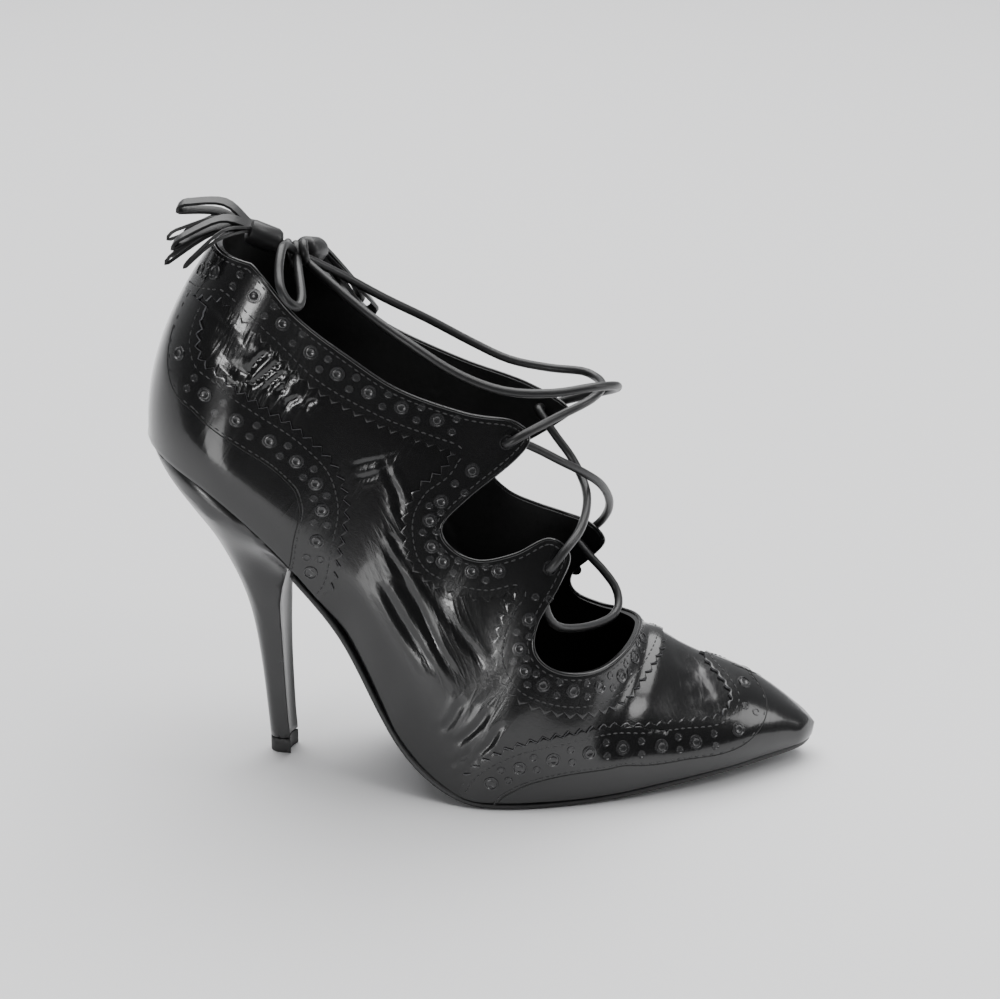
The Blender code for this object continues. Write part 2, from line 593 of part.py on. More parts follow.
def half_widths(at, left, grow):
    """The outer and inner edge of the footprint there, in y."""
    row = section(at)
    middle = centre_line(at)
    edges = []
    for side, edge in ((-1, "lateral"), (1, "medial")):
        edges.append(middle + side * max((row[edge] * BALL_WIDTH - side * middle + grow) * left, 0.0))
    return edges


def make_plate(name, places, left, grow, low, high, chamfer, material):
    """A plate that follows the foot line between two heights square to it."""
    bm = bmesh.new()
    rows = []
    for at, share in zip(places, left):
        foot, up = foot_frame(at)
        outer, inner = half_widths(at, share, grow)
        cut_in = min(chamfer, (inner - outer) / 4)
        ring = [(outer, high), (inner, high), (inner, low + chamfer), (inner - cut_in, low),
                (outer + cut_in, low), (outer, low + chamfer)]
        rows.append([bm.verts.new(foot + up * height + Vector((0, y, 0))) for y, height in ring])
    for row in rows:
        row.append(row[0])
    skin(bm, rows)
    for end in (rows[0], rows[-1]):
        if (end[0].co - end[1].co).length > 0.0001:
            bm.faces.new(end[:-1])
    bmesh.ops.remove_doubles(bm, verts=bm.verts, dist=0.00001)
    bmesh.ops.recalc_face_normals(bm, faces=bm.faces)
    return add_object(name, bm, material)


def make_insole():
    places, left = stations(24, (WALL + 2 * GAP) / LENGTH, INNER_END - 2 * GAP / LENGTH)
    left = [max(share, SMALLEST_SHARE) for share in left]
    return make_plate("insole", places, left, -(WALL + 2 * GAP), GAP, GAP + INSOLE_THICKNESS, GAP,
                      LINING_LEATHER)


BREAST_AT = 0.213          # where the heel's breast meets the sole, as a share of LENGTH


def make_outsole():
    places, left = stations(24)
    start = BREAST_AT + 4 * GAP / LENGTH
    kept = [(max(at, start), share) for at, share in zip(places, left) if at > start - 0.03]
    places = [at for at, share in kept]
    left = [max(share, SMALLEST_SHARE) for at, share in kept]
    return make_plate("outsole", places, left, SOLE_EDGE, -GAP - SOLE_THICKNESS, -GAP,
                      SOLE_CHAMFER, SOLE_RUBBER)


SIDE_STEPS = 9             # points of the heel's outline from breast to back


def heel_depths():
    """Shares of the way from the heel's back to its breast, breast first."""
    flat = [1.0, 0.83, 0.67]
    return flat + [0.5 * (1 - math.cos(math.pi / 2 * k / 5)) for k in range(5, -1, -1)]


def breast_line(outer, inner):
    """The points between two front corners, hollowed towards the back, from inner to outer side."""
    points = []
    for t in (0.2, 0.4, 0.6, 0.8):
        hollow = BREAST_HOLLOW * 4 * t * (1 - t)
        points.append(inner.lerp(outer, t) - Vector((hollow, 0, 0)))
    return points


def heel_ring(back, front, bulk, corner, turn):
    """A level of the heel: round at the back, flat and a little hollow at the breast."""
    outer, inner = [], []
    for depth in heel_depths():
        place = back.lerp(front, depth)
        if depth <= 0.5:
            width = bulk * math.sqrt(max(0.0, 1 - (1 - 2 * depth) ** 2))
        else:
            width = bulk + (corner - bulk) * ease(2 * depth - 1)
        outer.append(place - Vector((0, width, 0)))
        inner.append(place + Vector((0, width, 0)))
    ring = outer + inner[-2::-1] + breast_line(outer[0], inner[0])
    middle = back.lerp(front, 0.5)
    turned = Matrix.Translation(middle) @ Matrix.Rotation(turn, 4, "Z") @ Matrix.Translation(-middle)
    return [turned @ point for point in ring]


def seat_ring():
    """The heel's top, just under the feather edge."""
    round_at = [HEEL_ROUND * (1 - math.cos(math.pi / 2 * k / 5)) for k in range(5, -1, -1)]
    flat_at = [BREAST_AT + (HEEL_ROUND - BREAST_AT) * k / 3 for k in range(3)]
    outer, inner = [], []
    for at in flat_at + round_at:
        foot, up = foot_frame(at)
        low, high = half_widths(at, closure(at), 0.0)
        outer.append(foot - up * GAP + Vector((0, low, 0)))
        inner.append(foot - up * GAP + Vector((0, high, 0)))
    return outer + inner[-2::-1] + breast_line(outer[0], inner[0])


def loft(rings):
    """A skin through rings of as many points each, open at both ends."""
    bm = bmesh.new()
    rows = [[bm.verts.new(p) for p in ring] for ring in rings]
    skin(bm, [row + row[:1] for row in rows])
    return bm, rows


def make_heel():
    rings = [seat_ring()]
    for row in HEEL:
        level = dict(zip(HEEL_COLUMNS, row))
        back = Vector((level["back_at"] * HEEL_SETBACK, 0, level["back_up"] * SEAT_HEIGHT))
        front = Vector((level["front_at"] * HEEL_SETBACK, 0, level["front_up"] * SEAT_HEIGHT))
        if row is HEEL[-1]:
            back.z = front.z = TOP_PIECE_HEIGHT + GAP
        turn = HEEL_TURN * ease((HEEL_TURN_START - level["back_up"]) / HEEL_TURN_SPAN)
        rings.append(heel_ring(back, front, level["bulk"] * BALL_WIDTH, level["front"] * BALL_WIDTH, turn))
    bm, rows = loft(rings)
    seat = rows[0]
    last = 2 * SIDE_STEPS - 2
    for k in range(1, SIDE_STEPS - 2):
        bm.faces.new([seat[k], seat[k + 1], seat[last - k - 1], seat[last - k]])
    bm.faces.new([seat[SIDE_STEPS - 2], seat[SIDE_STEPS - 1], seat[SIDE_STEPS]])
    bm.faces.new([seat[0], seat[1], seat[last - 1]] + seat[last:])
    bm.faces.new(rows[-1])
    bmesh.ops.recalc_face_normals(bm, faces=bm.faces)
    add_object("heel", bm, COVERED_HEEL)


def make_heel_tip():
    bm = bmesh.new()
    row = dict(zip(HEEL_COLUMNS, HEEL[-1]))
    rings = []
    for z in (0.0, TOP_PIECE_HEIGHT):
        back = Vector((row["back_at"] * HEEL_SETBACK, 0, z))
        front = Vector((row["front_at"] * HEEL_SETBACK, 0, z))
        rings.append([bm.verts.new(p) for p in heel_ring(
            back, front, row["bulk"] * BALL_WIDTH, row["front"] * BALL_WIDTH, HEEL_TURN)])
    skin(bm, [ring + ring[:1] for ring in rings])
    for ring in rings:
        bm.faces.new(ring)
    bmesh.ops.recalc_face_normals(bm, faces=bm.faces)
    add_object("heel_tip", bm, SOLE_RUBBER)


def placed(along, aside, up):
    return Vector((-HEEL_SETBACK + along * LENGTH, aside * BALL_WIDTH, up * COLLAR_HEIGHT))


def outside(tab):
    side, along, up = EYELETS[tab]
    return beside(along, up, side, SEATED + OVERLAY + GAP + LACE / 2)[0]


def inside(tab):
    side, along, up = EYELETS[tab]
    return beside(along, up, side, -(WALL + 3 * GAP + LACE / 2))[0]


def knot_side(towards):
    """A point just off the knot, on the way to another point."""
    middle = placed(*KNOT_AT)
    way = (towards - middle).normalized()
    reach = KNOT / 2 / math.sqrt((way.x / KNOT_LONG) ** 2 + way.y ** 2 + way.z ** 2)
    return middle + way * (reach + 2 * GAP)


def make_lace(name, points):
    """A round lace through the given points."""
    path = smooth_path(points, 2)
    curve = bpy.data.curves.new(name, "CURVE")
    curve.dimensions = "3D"
    curve.bevel_depth = LACE / 2
    curve.bevel_resolution = 2
    curve.use_fill_caps = True
    curve.materials.append(LACE_LEATHER)
    line = curve.splines.new("POLY")
    line.points.add(len(path) - 1)
    for point, place in zip(line.points, path):
        point.co = (*place, 1)
    made = bpy.data.objects.new(name, curve)
    SHOE.objects.link(made)
    return made


def make_knot():
    bm = bmesh.new()
    bmesh.ops.create_uvsphere(bm, u_segments=12, v_segments=8, radius=KNOT / 2)
    bmesh.ops.scale(bm, vec=(KNOT_LONG, 1, 1), verts=bm.verts)
    bmesh.ops.translate(bm, vec=placed(*KNOT_AT), verts=bm.verts)
    add_object("lace_knot", bm, LACE_LEATHER)


def make_strip(name, places, across):
    """A leather strip along the places, as wide as across, tapered into the head."""
    bm = bmesh.new()
    rings = []
    for k, place in enumerate(places):
        run = places[min(k + 1, len(places) - 1)] - places[max(k - 1, 0)]
        wide = across.normalized() * STRIP_WIDTH / 2 * (0.5 if k == 0 else 1.0)
        thick = run.cross(wide).normalized() * STRIP_THICKNESS / 2
        rings.append([bm.verts.new(place + p) for p in
                      (wide + thick, thick - wide, -wide - thick, wide - thick)])
    skin(bm, [ring + ring[:1] for ring in rings])
    bm.faces.new(rings[0])
    bm.faces.new(rings[-1])
    bmesh.ops.recalc_face_normals(bm, faces=bm.faces)
    return add_object(name, bm, None, CUTTERS)


def make_tassel(name, head, strips, across):
    """A wrapped head with its strips fused to it."""
    start, end = placed(*head[0]), placed(*head[1])
    way = (end - start).normalized()
    bm = bmesh.new()
    rings = []
    for along, wide in ((0.0, 0.75), (0.12, 1.0), (0.88, 1.0), (1.0, 0.8)):
        turn = Vector((0, 0, 1)).rotation_difference(way).to_matrix()
        middle = start.lerp(end, along)
        rings.append([bm.verts.new(middle + turn @ Vector((
            math.cos(math.tau * k / 12), math.sin(math.tau * k / 12), 0)) * TASSEL_HEAD / 2 * wide)
            for k in range(12)])
    skin(bm, [ring + ring[:1] for ring in rings])
    bm.faces.new(rings[0])
    bm.faces.new(rings[-1])
    bmesh.ops.recalc_face_normals(bm, faces=bm.faces)
    made = add_object(name, bm, LACE_LEATHER)
    for k, (bend, tip) in enumerate(strips):
        root = end - way * TASSEL_HEAD / 3
        bend, tip = placed(*bend), placed(*tip)
        spread = across.normalized() * STRIP_WIDTH * 0.12 * (k - (len(strips) - 1) / 2)
        lift = way.cross(across).normalized() * STRIP_THICKNESS * (0.23 * k - 0.4)
        places = smooth_path([root + spread + lift, end + spread + lift, bend, tip], 2)
        cut(made, make_strip(f"{name}_strip_{k}", [Vector(p) for p in places], across), "UNION")


UPPER = make_upper()
OPENING = make_opening()
EYELET_HOLES = make_eyelet_holes()
cut(UPPER, OPENING)
cut(UPPER, EYELET_HOLES)
BAND = make_band()
cut(BAND, EYELET_HOLES)
make_counter()
make_toe_cap()
make_insole()
make_outsole()
make_heel()
make_heel_tip()
outer_way = [placed(*p) for p in LACE_OUTER_WAY]
inner_way = [placed(*p) for p in LACE_INNER_WAY]
bow_way = [placed(*p) for p in BOW_WAY]
make_lace("lace_outer_strand", [outside("upper_lateral")] + outer_way + [knot_side(outer_way[-1])])
make_lace("lace_inner_strand", [outside("upper_medial")] + inner_way + [knot_side(inner_way[-1])])
make_lace("lace_bow", [knot_side(bow_way[0])] + bow_way + [knot_side(bow_way[-1])])
make_lace("lace_cross_outer", [outside("lower_lateral")] + [placed(*p) for p in CROSS_OUTER_WAY]
          + [inside("upper_medial")])
make_lace("lace_cross_inner", [outside("lower_medial")] + [placed(*p) for p in CROSS_INNER_WAY]
          + [inside("upper_lateral")])
make_lace("lace_bar", [inside("lower_lateral")] + [placed(*p) for p in BAR_WAY]
          + [inside("lower_medial")])
make_knot()
make_tassel("tassel_back", BACK_HEAD, BACK_STRIPS, Vector((0, 1, 0)))
make_tassel("tassel_side", SIDE_HEAD, SIDE_STRIPS, Vector((0.73, 0, -0.68)))
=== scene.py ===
import math

import bmesh
import bpy
import numpy as np
from mathutils import Matrix, Vector
from mathutils.bvhtree import BVHTree


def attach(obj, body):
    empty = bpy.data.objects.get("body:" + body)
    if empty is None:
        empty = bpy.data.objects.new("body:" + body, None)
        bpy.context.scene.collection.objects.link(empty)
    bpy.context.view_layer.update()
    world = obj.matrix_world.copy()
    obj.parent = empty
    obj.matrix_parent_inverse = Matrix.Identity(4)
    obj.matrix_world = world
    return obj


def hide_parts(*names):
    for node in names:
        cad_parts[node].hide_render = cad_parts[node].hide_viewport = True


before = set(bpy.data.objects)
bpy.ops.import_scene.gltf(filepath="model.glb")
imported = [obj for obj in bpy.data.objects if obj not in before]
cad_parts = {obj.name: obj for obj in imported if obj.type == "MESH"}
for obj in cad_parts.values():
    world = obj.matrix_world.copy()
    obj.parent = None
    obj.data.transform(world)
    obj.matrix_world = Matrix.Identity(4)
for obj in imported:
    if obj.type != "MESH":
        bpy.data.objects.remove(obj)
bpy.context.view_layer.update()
print("shoe: frame loaded")

# The shoe's sizes, the same as the solids have
shoe = {
    "length": 0.2133, "heelSetback": 0.0400, "seatHeight": 0.1108, "collarHeight": 0.1730,
    "ballWidth": 0.0760, "toeSpring": 0.0050, "toeDrift": 0.0035, "soleTop": 0.0023,
    "wall": 0.0015, "bellyAt": 0.22, "bellyTurn": 0.20, "heelRound": 0.122, "toeRound": 0.025,
    "lace": 0.0028,
}
view = {"lens": 86.4, "sensor": 36, "far": 20, "place": (0.07083, -0.72359, 0.35098), "tilt": 70}


def linked(name, data):
    # a new object in the scene
    made = bpy.data.objects.new(name, data)
    bpy.context.scene.collection.objects.link(made)
    return made


def makeCamera():
    camera = bpy.data.cameras.new("camera")
    camera.lens = view["lens"]
    camera.sensor_width = view["sensor"]
    camera.clip_end = view["far"]
    holder = linked("camera", camera)
    holder.location = view["place"]
    holder.rotation_euler = (math.radians(view["tilt"]), 0, 0)
    bpy.context.scene.camera = holder


makeCamera()

# The last, section by section, in shares of the sizes above
lastColumns = ("at", "rise", "spring", "topAt", "topUp", "outer", "inner",
               "topOuter", "topInner", "closed", "full", "belly", "bulge")
lastRows = (
    (0.000, 1.000, 0.00, 0.129, 1.029, 0.342, 0.342, 0.342, 0.342, 0.0, 2.00, 0.026, 0.033),
    (0.047, 0.951, 0.00, 0.159, 1.020, 0.342, 0.342, 0.342, 0.329, 0.0, 2.00, 0.033, 0.030),
    (0.094, 0.894, 0.00, 0.192, 0.983, 0.342, 0.342, 0.349, 0.316, 0.0, 2.00, 0.039, 0.023),
    (0.155, 0.785, 0.00, 0.239, 0.925, 0.346, 0.329, 0.355, 0.316, 0.0, 2.00, 0.039, 0.014),
    (0.206, 0.677, 0.00, 0.286, 0.879, 0.349, 0.307, 0.366, 0.326, 0.0, 2.00, 0.039, 0.007),
    (0.248, 0.569, 0.00, 0.333, 0.832, 0.342, 0.276, 0.368, 0.342, 0.0, 2.00, 0.039, 0.002),
    (0.286, 0.476, 0.00, 0.389, 0.795, 0.342, 0.237, 0.359, 0.349, 0.0, 2.00, 0.053, 0.000),
    (0.319, 0.352, 0.00, 0.459, 0.760, 0.368, 0.217, 0.329, 0.329, 0.0, 2.00, 0.066, 0.000),
    (0.340, 0.255, 0.00, 0.530, 0.740, 0.395, 0.211, 0.289, 0.289, 0.0, 2.00, 0.066, 0.000),
    (0.361, 0.175, 0.00, 0.600, 0.728, 0.434, 0.217, 0.237, 0.237, 0.2, 2.00, 0.066, 0.000),
    (0.389, 0.103, 0.00, 0.647, 0.682, 0.474, 0.243, 0.184, 0.184, 0.7, 2.00, 0.053, 0.000),
    (0.427, 0.043, 0.00, 0.663, 0.607, 0.526, 0.289, 0.105, 0.105, 1.0, 2.00, 0.039, 0.000),
    (0.469, 0.005, 0.00, 0.677, 0.526, 0.579, 0.342, 0.000, 0.000, 1.0, 1.95, 0.026, 0.000),
    (0.516, 0.000, 0.00, 0.694, 0.439, 0.599, 0.382, 0.000, 0.000, 1.0, 1.90, 0.013, 0.000),
    (0.563, 0.000, 0.00, 0.713, 0.347, 0.596, 0.401, 0.000, 0.000, 1.0, 1.80, 0.013, 0.000),
    (0.624, 0.000, 0.00, 0.734, 0.261, 0.566, 0.395, 0.000, 0.000, 1.0, 1.70, 0.013, 0.000),
    (0.689, 0.000, 0.15, 0.769, 0.240, 0.526, 0.349, 0.000, 0.000, 1.0, 1.70, 0.013, 0.000),
    (0.750, 0.000, 0.40, 0.811, 0.210, 0.474, 0.289, 0.000, 0.000, 1.0, 1.70, 0.013, 0.000),
    (0.811, 0.000, 0.64, 0.858, 0.185, 0.414, 0.230, 0.000, 0.000, 1.0, 1.75, 0.013, 0.000),
    (0.872, 0.000, 0.80, 0.902, 0.162, 0.336, 0.164, 0.000, 0.000, 1.0, 1.80, 0.013, 0.000),
    (0.924, 0.000, 0.92, 0.940, 0.132, 0.250, 0.105, 0.000, 0.000, 1.0, 1.85, 0.011, 0.000),
    (0.961, 0.000, 0.97, 0.968, 0.104, 0.184, 0.066, 0.000, 0.000, 1.0, 1.90, 0.007, 0.000),
    (0.985, 0.000, 0.99, 0.989, 0.081, 0.138, 0.039, 0.000, 0.000, 1.0, 2.00, 0.004, 0.000),
    (1.000, 0.000, 1.00, 1.003, 0.061, 0.105, 0.013, 0.000, 0.000, 1.0, 2.00, 0.003, 0.000),
)


def smoothAt(xs, ys, x):
    i = min(max(k for k in range(len(xs)) if xs[k] <= x), len(xs) - 2)
    slopes = []
    for k in (i, i + 1):
        low, high = max(k - 1, 0), min(k + 1, len(xs) - 1)
        slopes.append((ys[high] - ys[low]) / (xs[high] - xs[low]))
    step = xs[i + 1] - xs[i]
    t = (x - xs[i]) / step
    return ((2 * t**3 - 3 * t**2 + 1) * ys[i] + (t**3 - 2 * t**2 + t) * step * slopes[0]
            + (3 * t**2 - 2 * t**3) * ys[i + 1] + (t**3 - t**2) * step * slopes[1])


fineSteps = 800
fineSections = {}
for column, name in enumerate(lastColumns):
    ats = [row[0] for row in lastRows]
    values = [row[column] for row in lastRows]
    fineSections[name] = [smoothAt(ats, values, k / fineSteps) for k in range(fineSteps + 1)]


def section(at):
    place = min(max(at, 0.0), 1.0) * fineSteps
    i = min(int(place), fineSteps - 1)
    t = place - i
    return {name: v[i] + (v[i + 1] - v[i]) * t for name, v in fineSections.items()}


def closure(at):
    if at < shoe["heelRound"]:
        return math.sqrt(max(0.0, 1 - (1 - at / shoe["heelRound"]) ** 2))
    if at > 1 - shoe["toeRound"]:
        return math.sqrt(max(0.0, 1 - ((at - 1 + shoe["toeRound"]) / shoe["toeRound"]) ** 2))
    return 1.0


def lastPoint(at, arch, side):
    # arch is 0 at the feather edge and 1 on the ridge, side -1 on the outer side
    row = section(at)
    left = closure(at)
    edge, top = ("outer", "topOuter") if side < 0 else ("inner", "topInner")
    drift = min(max((at - 0.6) / 0.4, 0.0), 1.0)
    middle = -shoe["toeDrift"] * drift * drift * (3 - 2 * drift)
    foot = row[edge] * shoe["ballWidth"] - side * middle
    belly = foot + row["belly"] * shoe["ballWidth"]
    crown = row[top] * shoe["ballWidth"]
    low = shoe["bellyAt"]
    if arch < shoe["bellyTurn"]:
        t = arch / shoe["bellyTurn"]
        height = low * t
        width = foot + (belly - foot) * math.sin(t * math.pi / 2)
    else:
        t = (arch - shoe["bellyTurn"]) / (1 - shoe["bellyTurn"])
        power = 2 / row["full"]
        roundHeight = low + (1 - low) * math.sin(t * math.pi / 2) ** power
        roundWidth = belly * max(math.cos(t * math.pi / 2), 0.0) ** power
        height = low + (1 - low) * t
        width = belly + (crown - belly) * t**1.5
        height += row["closed"] * (roundHeight - height)
        width += row["closed"] * (roundWidth - width)
    footX = -shoe["heelSetback"] + at * shoe["length"]
    footZ = (shoe["soleTop"] + row["rise"] * (shoe["seatHeight"] - shoe["soleTop"])
             + row["spring"] * shoe["toeSpring"])
    topX = -shoe["heelSetback"] + row["topAt"] * shoe["length"]
    topZ = row["topUp"] * shoe["collarHeight"]
    x = footX + height * (topX - footX) - row["bulge"] * shoe["length"] * 4 * height * (1 - height)
    return Vector((x, middle + side * max(width * left, 0.0), footZ + height * (topZ - footZ)))


def surfaceFrame(at, arch, side):
    # the place and the outward direction there
    at, arch = min(max(at, 0.004), 0.996), min(max(arch, 0.004), 0.996)
    along = lastPoint(at + 0.003, arch, side) - lastPoint(at - 0.003, arch, side)
    up = lastPoint(at, arch + 0.003, side) - lastPoint(at, arch - 0.003, side)
    out = along.cross(up).normalized()
    return lastPoint(at, arch, side), out if out.y * side > 0 else -out


sampleKeys = [(k / 80, j / 24) for k in range(81) for j in range(25)]
samplePlaces = {}
for side in (-1, 1):
    points = [lastPoint(at, arch, side) for at, arch in sampleKeys]
    samplePlaces[side] = np.array([(p.x, p.z) for p in points])


def findOnLast(x, z, side):
    # the at and arch of a point of the side view
    away = samplePlaces[side] - (x, z)
    at, arch = sampleKeys[int((away**2).sum(axis=1).argmin())]
    step = 0.0005
    for _ in range(7):
        here = lastPoint(at, arch, side)
        turnAt, turnArch = (1 if at > 0.5 else -1), (1 if arch > 0.5 else -1)
        byAt = (here - lastPoint(at - turnAt * step, arch, side)) * (turnAt / step)
        byArch = (here - lastPoint(at, arch - turnArch * step, side)) * (turnArch / step)
        span = byAt.x * byArch.z - byAt.z * byArch.x
        if abs(span) < 1e-9:
            break
        dx, dz = x - here.x, z - here.z
        at = min(max(at + (dx * byArch.z - dz * byArch.x) / span, 0.0), 1.0)
        arch = min(max(arch + (byAt.x * dz - byAt.z * dx) / span, 0.0), 1.0)
    return at, arch


# Guide lines: edges of the leather in the side view, as shares of length and collar height
edgeRows = (   # outer side, inner side, and the step to the pinked edge
    (0.117, 1.001, 0.117, 1.001, -0.048, -0.078),
    (0.170, 0.990, 0.176, 0.972, -0.045, -0.057),
    (0.230, 0.903, 0.234, 0.917, -0.040, -0.039),
    (0.302, 0.832, 0.290, 0.851, -0.047, -0.049),
    (0.374, 0.770, 0.365, 0.787, -0.034, -0.052),
    (0.465, 0.723, 0.471, 0.730, -0.045, -0.047),
    (0.534, 0.702, 0.564, 0.697, -0.078, -0.045),
    (0.559, 0.672, 0.620, 0.664, -0.107, -0.032),
    (0.545, 0.640, 0.600, 0.628, -0.107, -0.024),
    (0.471, 0.570, 0.535, 0.566, -0.066, 0.015),
    (0.434, 0.520, 0.506, 0.522, -0.048, 0.010),
    (0.449, 0.479, 0.530, 0.485, -0.054, -0.022),
    (0.489, 0.458, 0.571, 0.460, -0.059, -0.040),
    (0.540, 0.469, 0.615, 0.440, -0.045, -0.070),
    (0.590, 0.494, 0.655, 0.425, -0.050, -0.085),
    (0.618, 0.465, 0.678, 0.396, -0.069, -0.064),
    (0.605, 0.420, 0.660, 0.350, -0.069, -0.040),
    (0.573, 0.352, 0.634, 0.310, -0.053, -0.022),
    (0.570, 0.301, 0.629, 0.280, -0.051, -0.026),
    (0.601, 0.265, 0.644, 0.254, -0.051, -0.043),
    (0.655, 0.250, 0.680, 0.243, -0.025, -0.062),
    (0.710, 0.257, 0.714, 0.252, 0.000, -0.067),
    (0.733, 0.262, 0.733, 0.262, 0.035, -0.021),
)
counterRows = (   # the counter's pinked edge, along and up in the side view
    (0.253, 0.370), (0.271, 0.408), (0.283, 0.479), (0.293, 0.542), (0.289, 0.589),
    (0.277, 0.628), (0.253, 0.664), (0.224, 0.696), (0.183, 0.730), (0.143, 0.765),
    (0.116, 0.793), (0.094, 0.812), (0.086, 0.843), (0.092, 0.880), (0.104, 0.910),
)
wingRows = (   # where the rib leaves the feather edge, then the pinked edge, along and up
    (0.462, 0.460, 0.030), (0.485, 0.480, 0.072), (0.515, 0.509, 0.102), (0.560, 0.550, 0.127),
    (0.620, 0.607, 0.142), (0.680, 0.664, 0.145), (0.745, 0.736, 0.136), (0.800, 0.786, 0.132),
    (0.855, 0.839, 0.127), (0.905, 0.862, 0.134), (0.945, 0.873, 0.152), (0.975, 0.860, 0.173),
    (0.990, 0.840, 0.192), (1.000, 0.826, 0.204),
)
eyelets = {"upperOuter": (-1, 0.528, 0.665), "lowerOuter": (-1, 0.592, 0.446),
           "upperInner": (1, 0.586, 0.660), "lowerInner": (1, 0.650, 0.393)}


def inShoe(along, up):
    return -shoe["heelSetback"] + along * shoe["length"], up * shoe["collarHeight"]


def smoothLine(points, steps):
    # a smooth curve through points of any size
    line = []
    last = len(points) - 1
    for i in range(last):
        a, b, c, d = (points[min(max(i + k, 0), last)] for k in (-1, 0, 1, 2))
        for k in range(steps):
            t = k / steps
            line.append(tuple(
                0.5 * (2 * q + (r - p) * t + (2 * p - 5 * q + 4 * r - s) * t**2
                       + (3 * q - p - 3 * r + s) * t**3)
                for p, q, r, s in zip(a, b, c, d)))
    return line + [tuple(points[-1])]


def lerpKeys(one, two, t):
    return tuple(a + (b - a) * t for a, b in zip(one, two))


def spotIn(runs, distance):
    # the stretch that a running length falls in, and how far along it
    k = int(np.clip(np.searchsorted(runs, distance) - 1, 0, len(runs) - 2))
    return k, (distance - runs[k]) / max(runs[k + 1] - runs[k], 1e-9)


def backCentre(z):
    # where the heel's back line has that height
    low, high = 0.0, 1.0
    for _ in range(20):
        middle = (low + high) / 2
        low, high = (middle, high) if lastPoint(0.0, middle, -1).z < z else (low, middle)
    return 0.0, low


class Guide:
    # a line on the last: at and arch pairs with their places, directions and running length
    def __init__(self, keys, side):
        self.keys = keys
        self.side = side
        self.frames = [surfaceFrame(at, arch, side) for at, arch in keys]
        self.places = [lastPoint(at, arch, side) for at, arch in keys]
        self.run = [0.0]
        for one, two in zip(self.places, self.places[1:]):
            self.run.append(self.run[-1] + (two - one).length)

    def at(self, distance):
        # the place, the tangent and the outward direction at a running length
        k, t = spotIn(self.run, distance)
        place = self.places[k].lerp(self.places[k + 1], t)
        out = self.frames[k][1].lerp(self.frames[k + 1][1], t).normalized()
        tangent = (self.places[k + 1] - self.places[k]).normalized()
        return place, tangent, out

    def keyAt(self, distance):
        k, t = spotIn(self.run, distance)
        return lerpKeys(self.keys[k], self.keys[k + 1], t)


def nearestKey(point, key, side):
    # the at and arch of the last's point nearest to one beside it
    at, arch = key
    for _ in range(5):
        at, arch = min(max(at, 0.001), 0.999), min(max(arch, 0.001), 0.999)
        here = lastPoint(at, arch, side)
        byAt = (lastPoint(at + 0.0008, arch, side) - lastPoint(at - 0.0008, arch, side)) / 0.0016
        byArch = (lastPoint(at, arch + 0.0008, side) - lastPoint(at, arch - 0.0008, side)) / 0.0016
        gap = point - here
        aa, bb, ab = byAt.dot(byAt), byArch.dot(byArch), byAt.dot(byArch)
        span = aa * bb - ab * ab
        if span < 1e-12:
            break
        at += (gap.dot(byAt) * bb - gap.dot(byArch) * ab) / span
        arch += (gap.dot(byArch) * aa - gap.dot(byAt) * ab) / span
    return min(max(at, 0.0), 1.0), min(max(arch, 0.0), 1.0)


def insetPoint(place, tangent, out, distance, side, turn, key):
    # the point at a real distance to one side of a line, put back on the last
    away = out.cross(tangent).normalized() * turn
    return nearestKey(place + away * distance, key, side)


def edgeLines(side, steps=26):
    # plain edge and pinked edge of the collar band
    first = 0 if side < 0 else 2
    shares = smoothLine([(row[first], row[first + 1], row[4], row[5]) for row in edgeRows], steps)
    plain, pinked = [], []
    for along, up, byAlong, byUp in shares:
        plain.append(inShoe(along, up))
        pinked.append(inShoe(along + byAlong, up + byUp))
    lines = []
    for line in (plain, pinked):
        keys = [findOnLast(x, z, side) for x, z in line]
        keys[0] = backCentre(line[0][1])
        keys[-1] = (keys[-1][0], 1.0)
        startX = lastPoint(*keys[0], side).x
        # the first and last stretch turn round the heel and over the ridge
        for k in range(1, steps):
            t = (k / steps) ** 2
            x = startX + (line[steps][0] - startX) * t
            z = line[0][1] + (line[steps][1] - line[0][1]) * t
            keys[k] = findOnLast(x, z, side)
            t = 1 - (k / steps) ** 2
            x = line[-1 - steps][0] + (line[-1][0] - line[-1 - steps][0]) * t
            z = line[-1 - steps][1] + (line[-1][1] - line[-1 - steps][1]) * t
            keys[-1 - k] = findOnLast(x, z, side)
        lines.append(keys)
    return lines


def meshOf(name, bm):
    mesh = bpy.data.meshes.new(name)
    bm.to_mesh(mesh)
    bm.free()
    return mesh


def smoothed(mesh, angle):
    mesh.shade_smooth()
    mesh.set_sharp_from_angle(angle=math.radians(angle))


def newPiece(name, bm, finish, smooth=True):
    mesh = meshOf(name, bm)
    mesh.materials.append(finish)
    if smooth:
        smoothed(mesh, 45)
    return linked(name, mesh)


def onShoe(piece, slot, node=None):
    # every piece rides with the whole shoe, and most stand for a solid
    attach(piece, "root")
    if node:
        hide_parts(node)


def mappedGrid(bm, columns, rows, place):
    # a grid whose points are put where place(i, j) says
    made = bmesh.ops.create_grid(bm, x_segments=columns, y_segments=rows, size=1.0)
    for v in made["verts"]:
        i = round((v.co.x + 1) / 2 * columns)
        j = round((v.co.y + 1) / 2 * rows)
        v.co = place(i, j)


def bridged(bm, rings):
    # a solid through a row of closed rings of vertices
    for one, two in zip(rings, rings[1:]):
        edges = []
        for ring in (one, two):
            for a, b in zip(ring, ring[1:] + ring[:1]):
                edges.append(bm.edges.get((a, b)) or bm.edges.new((a, b)))
        bmesh.ops.bridge_loops(bm, edges=edges)
    bm.faces.new(rings[0])
    bm.faces.new(rings[-1])


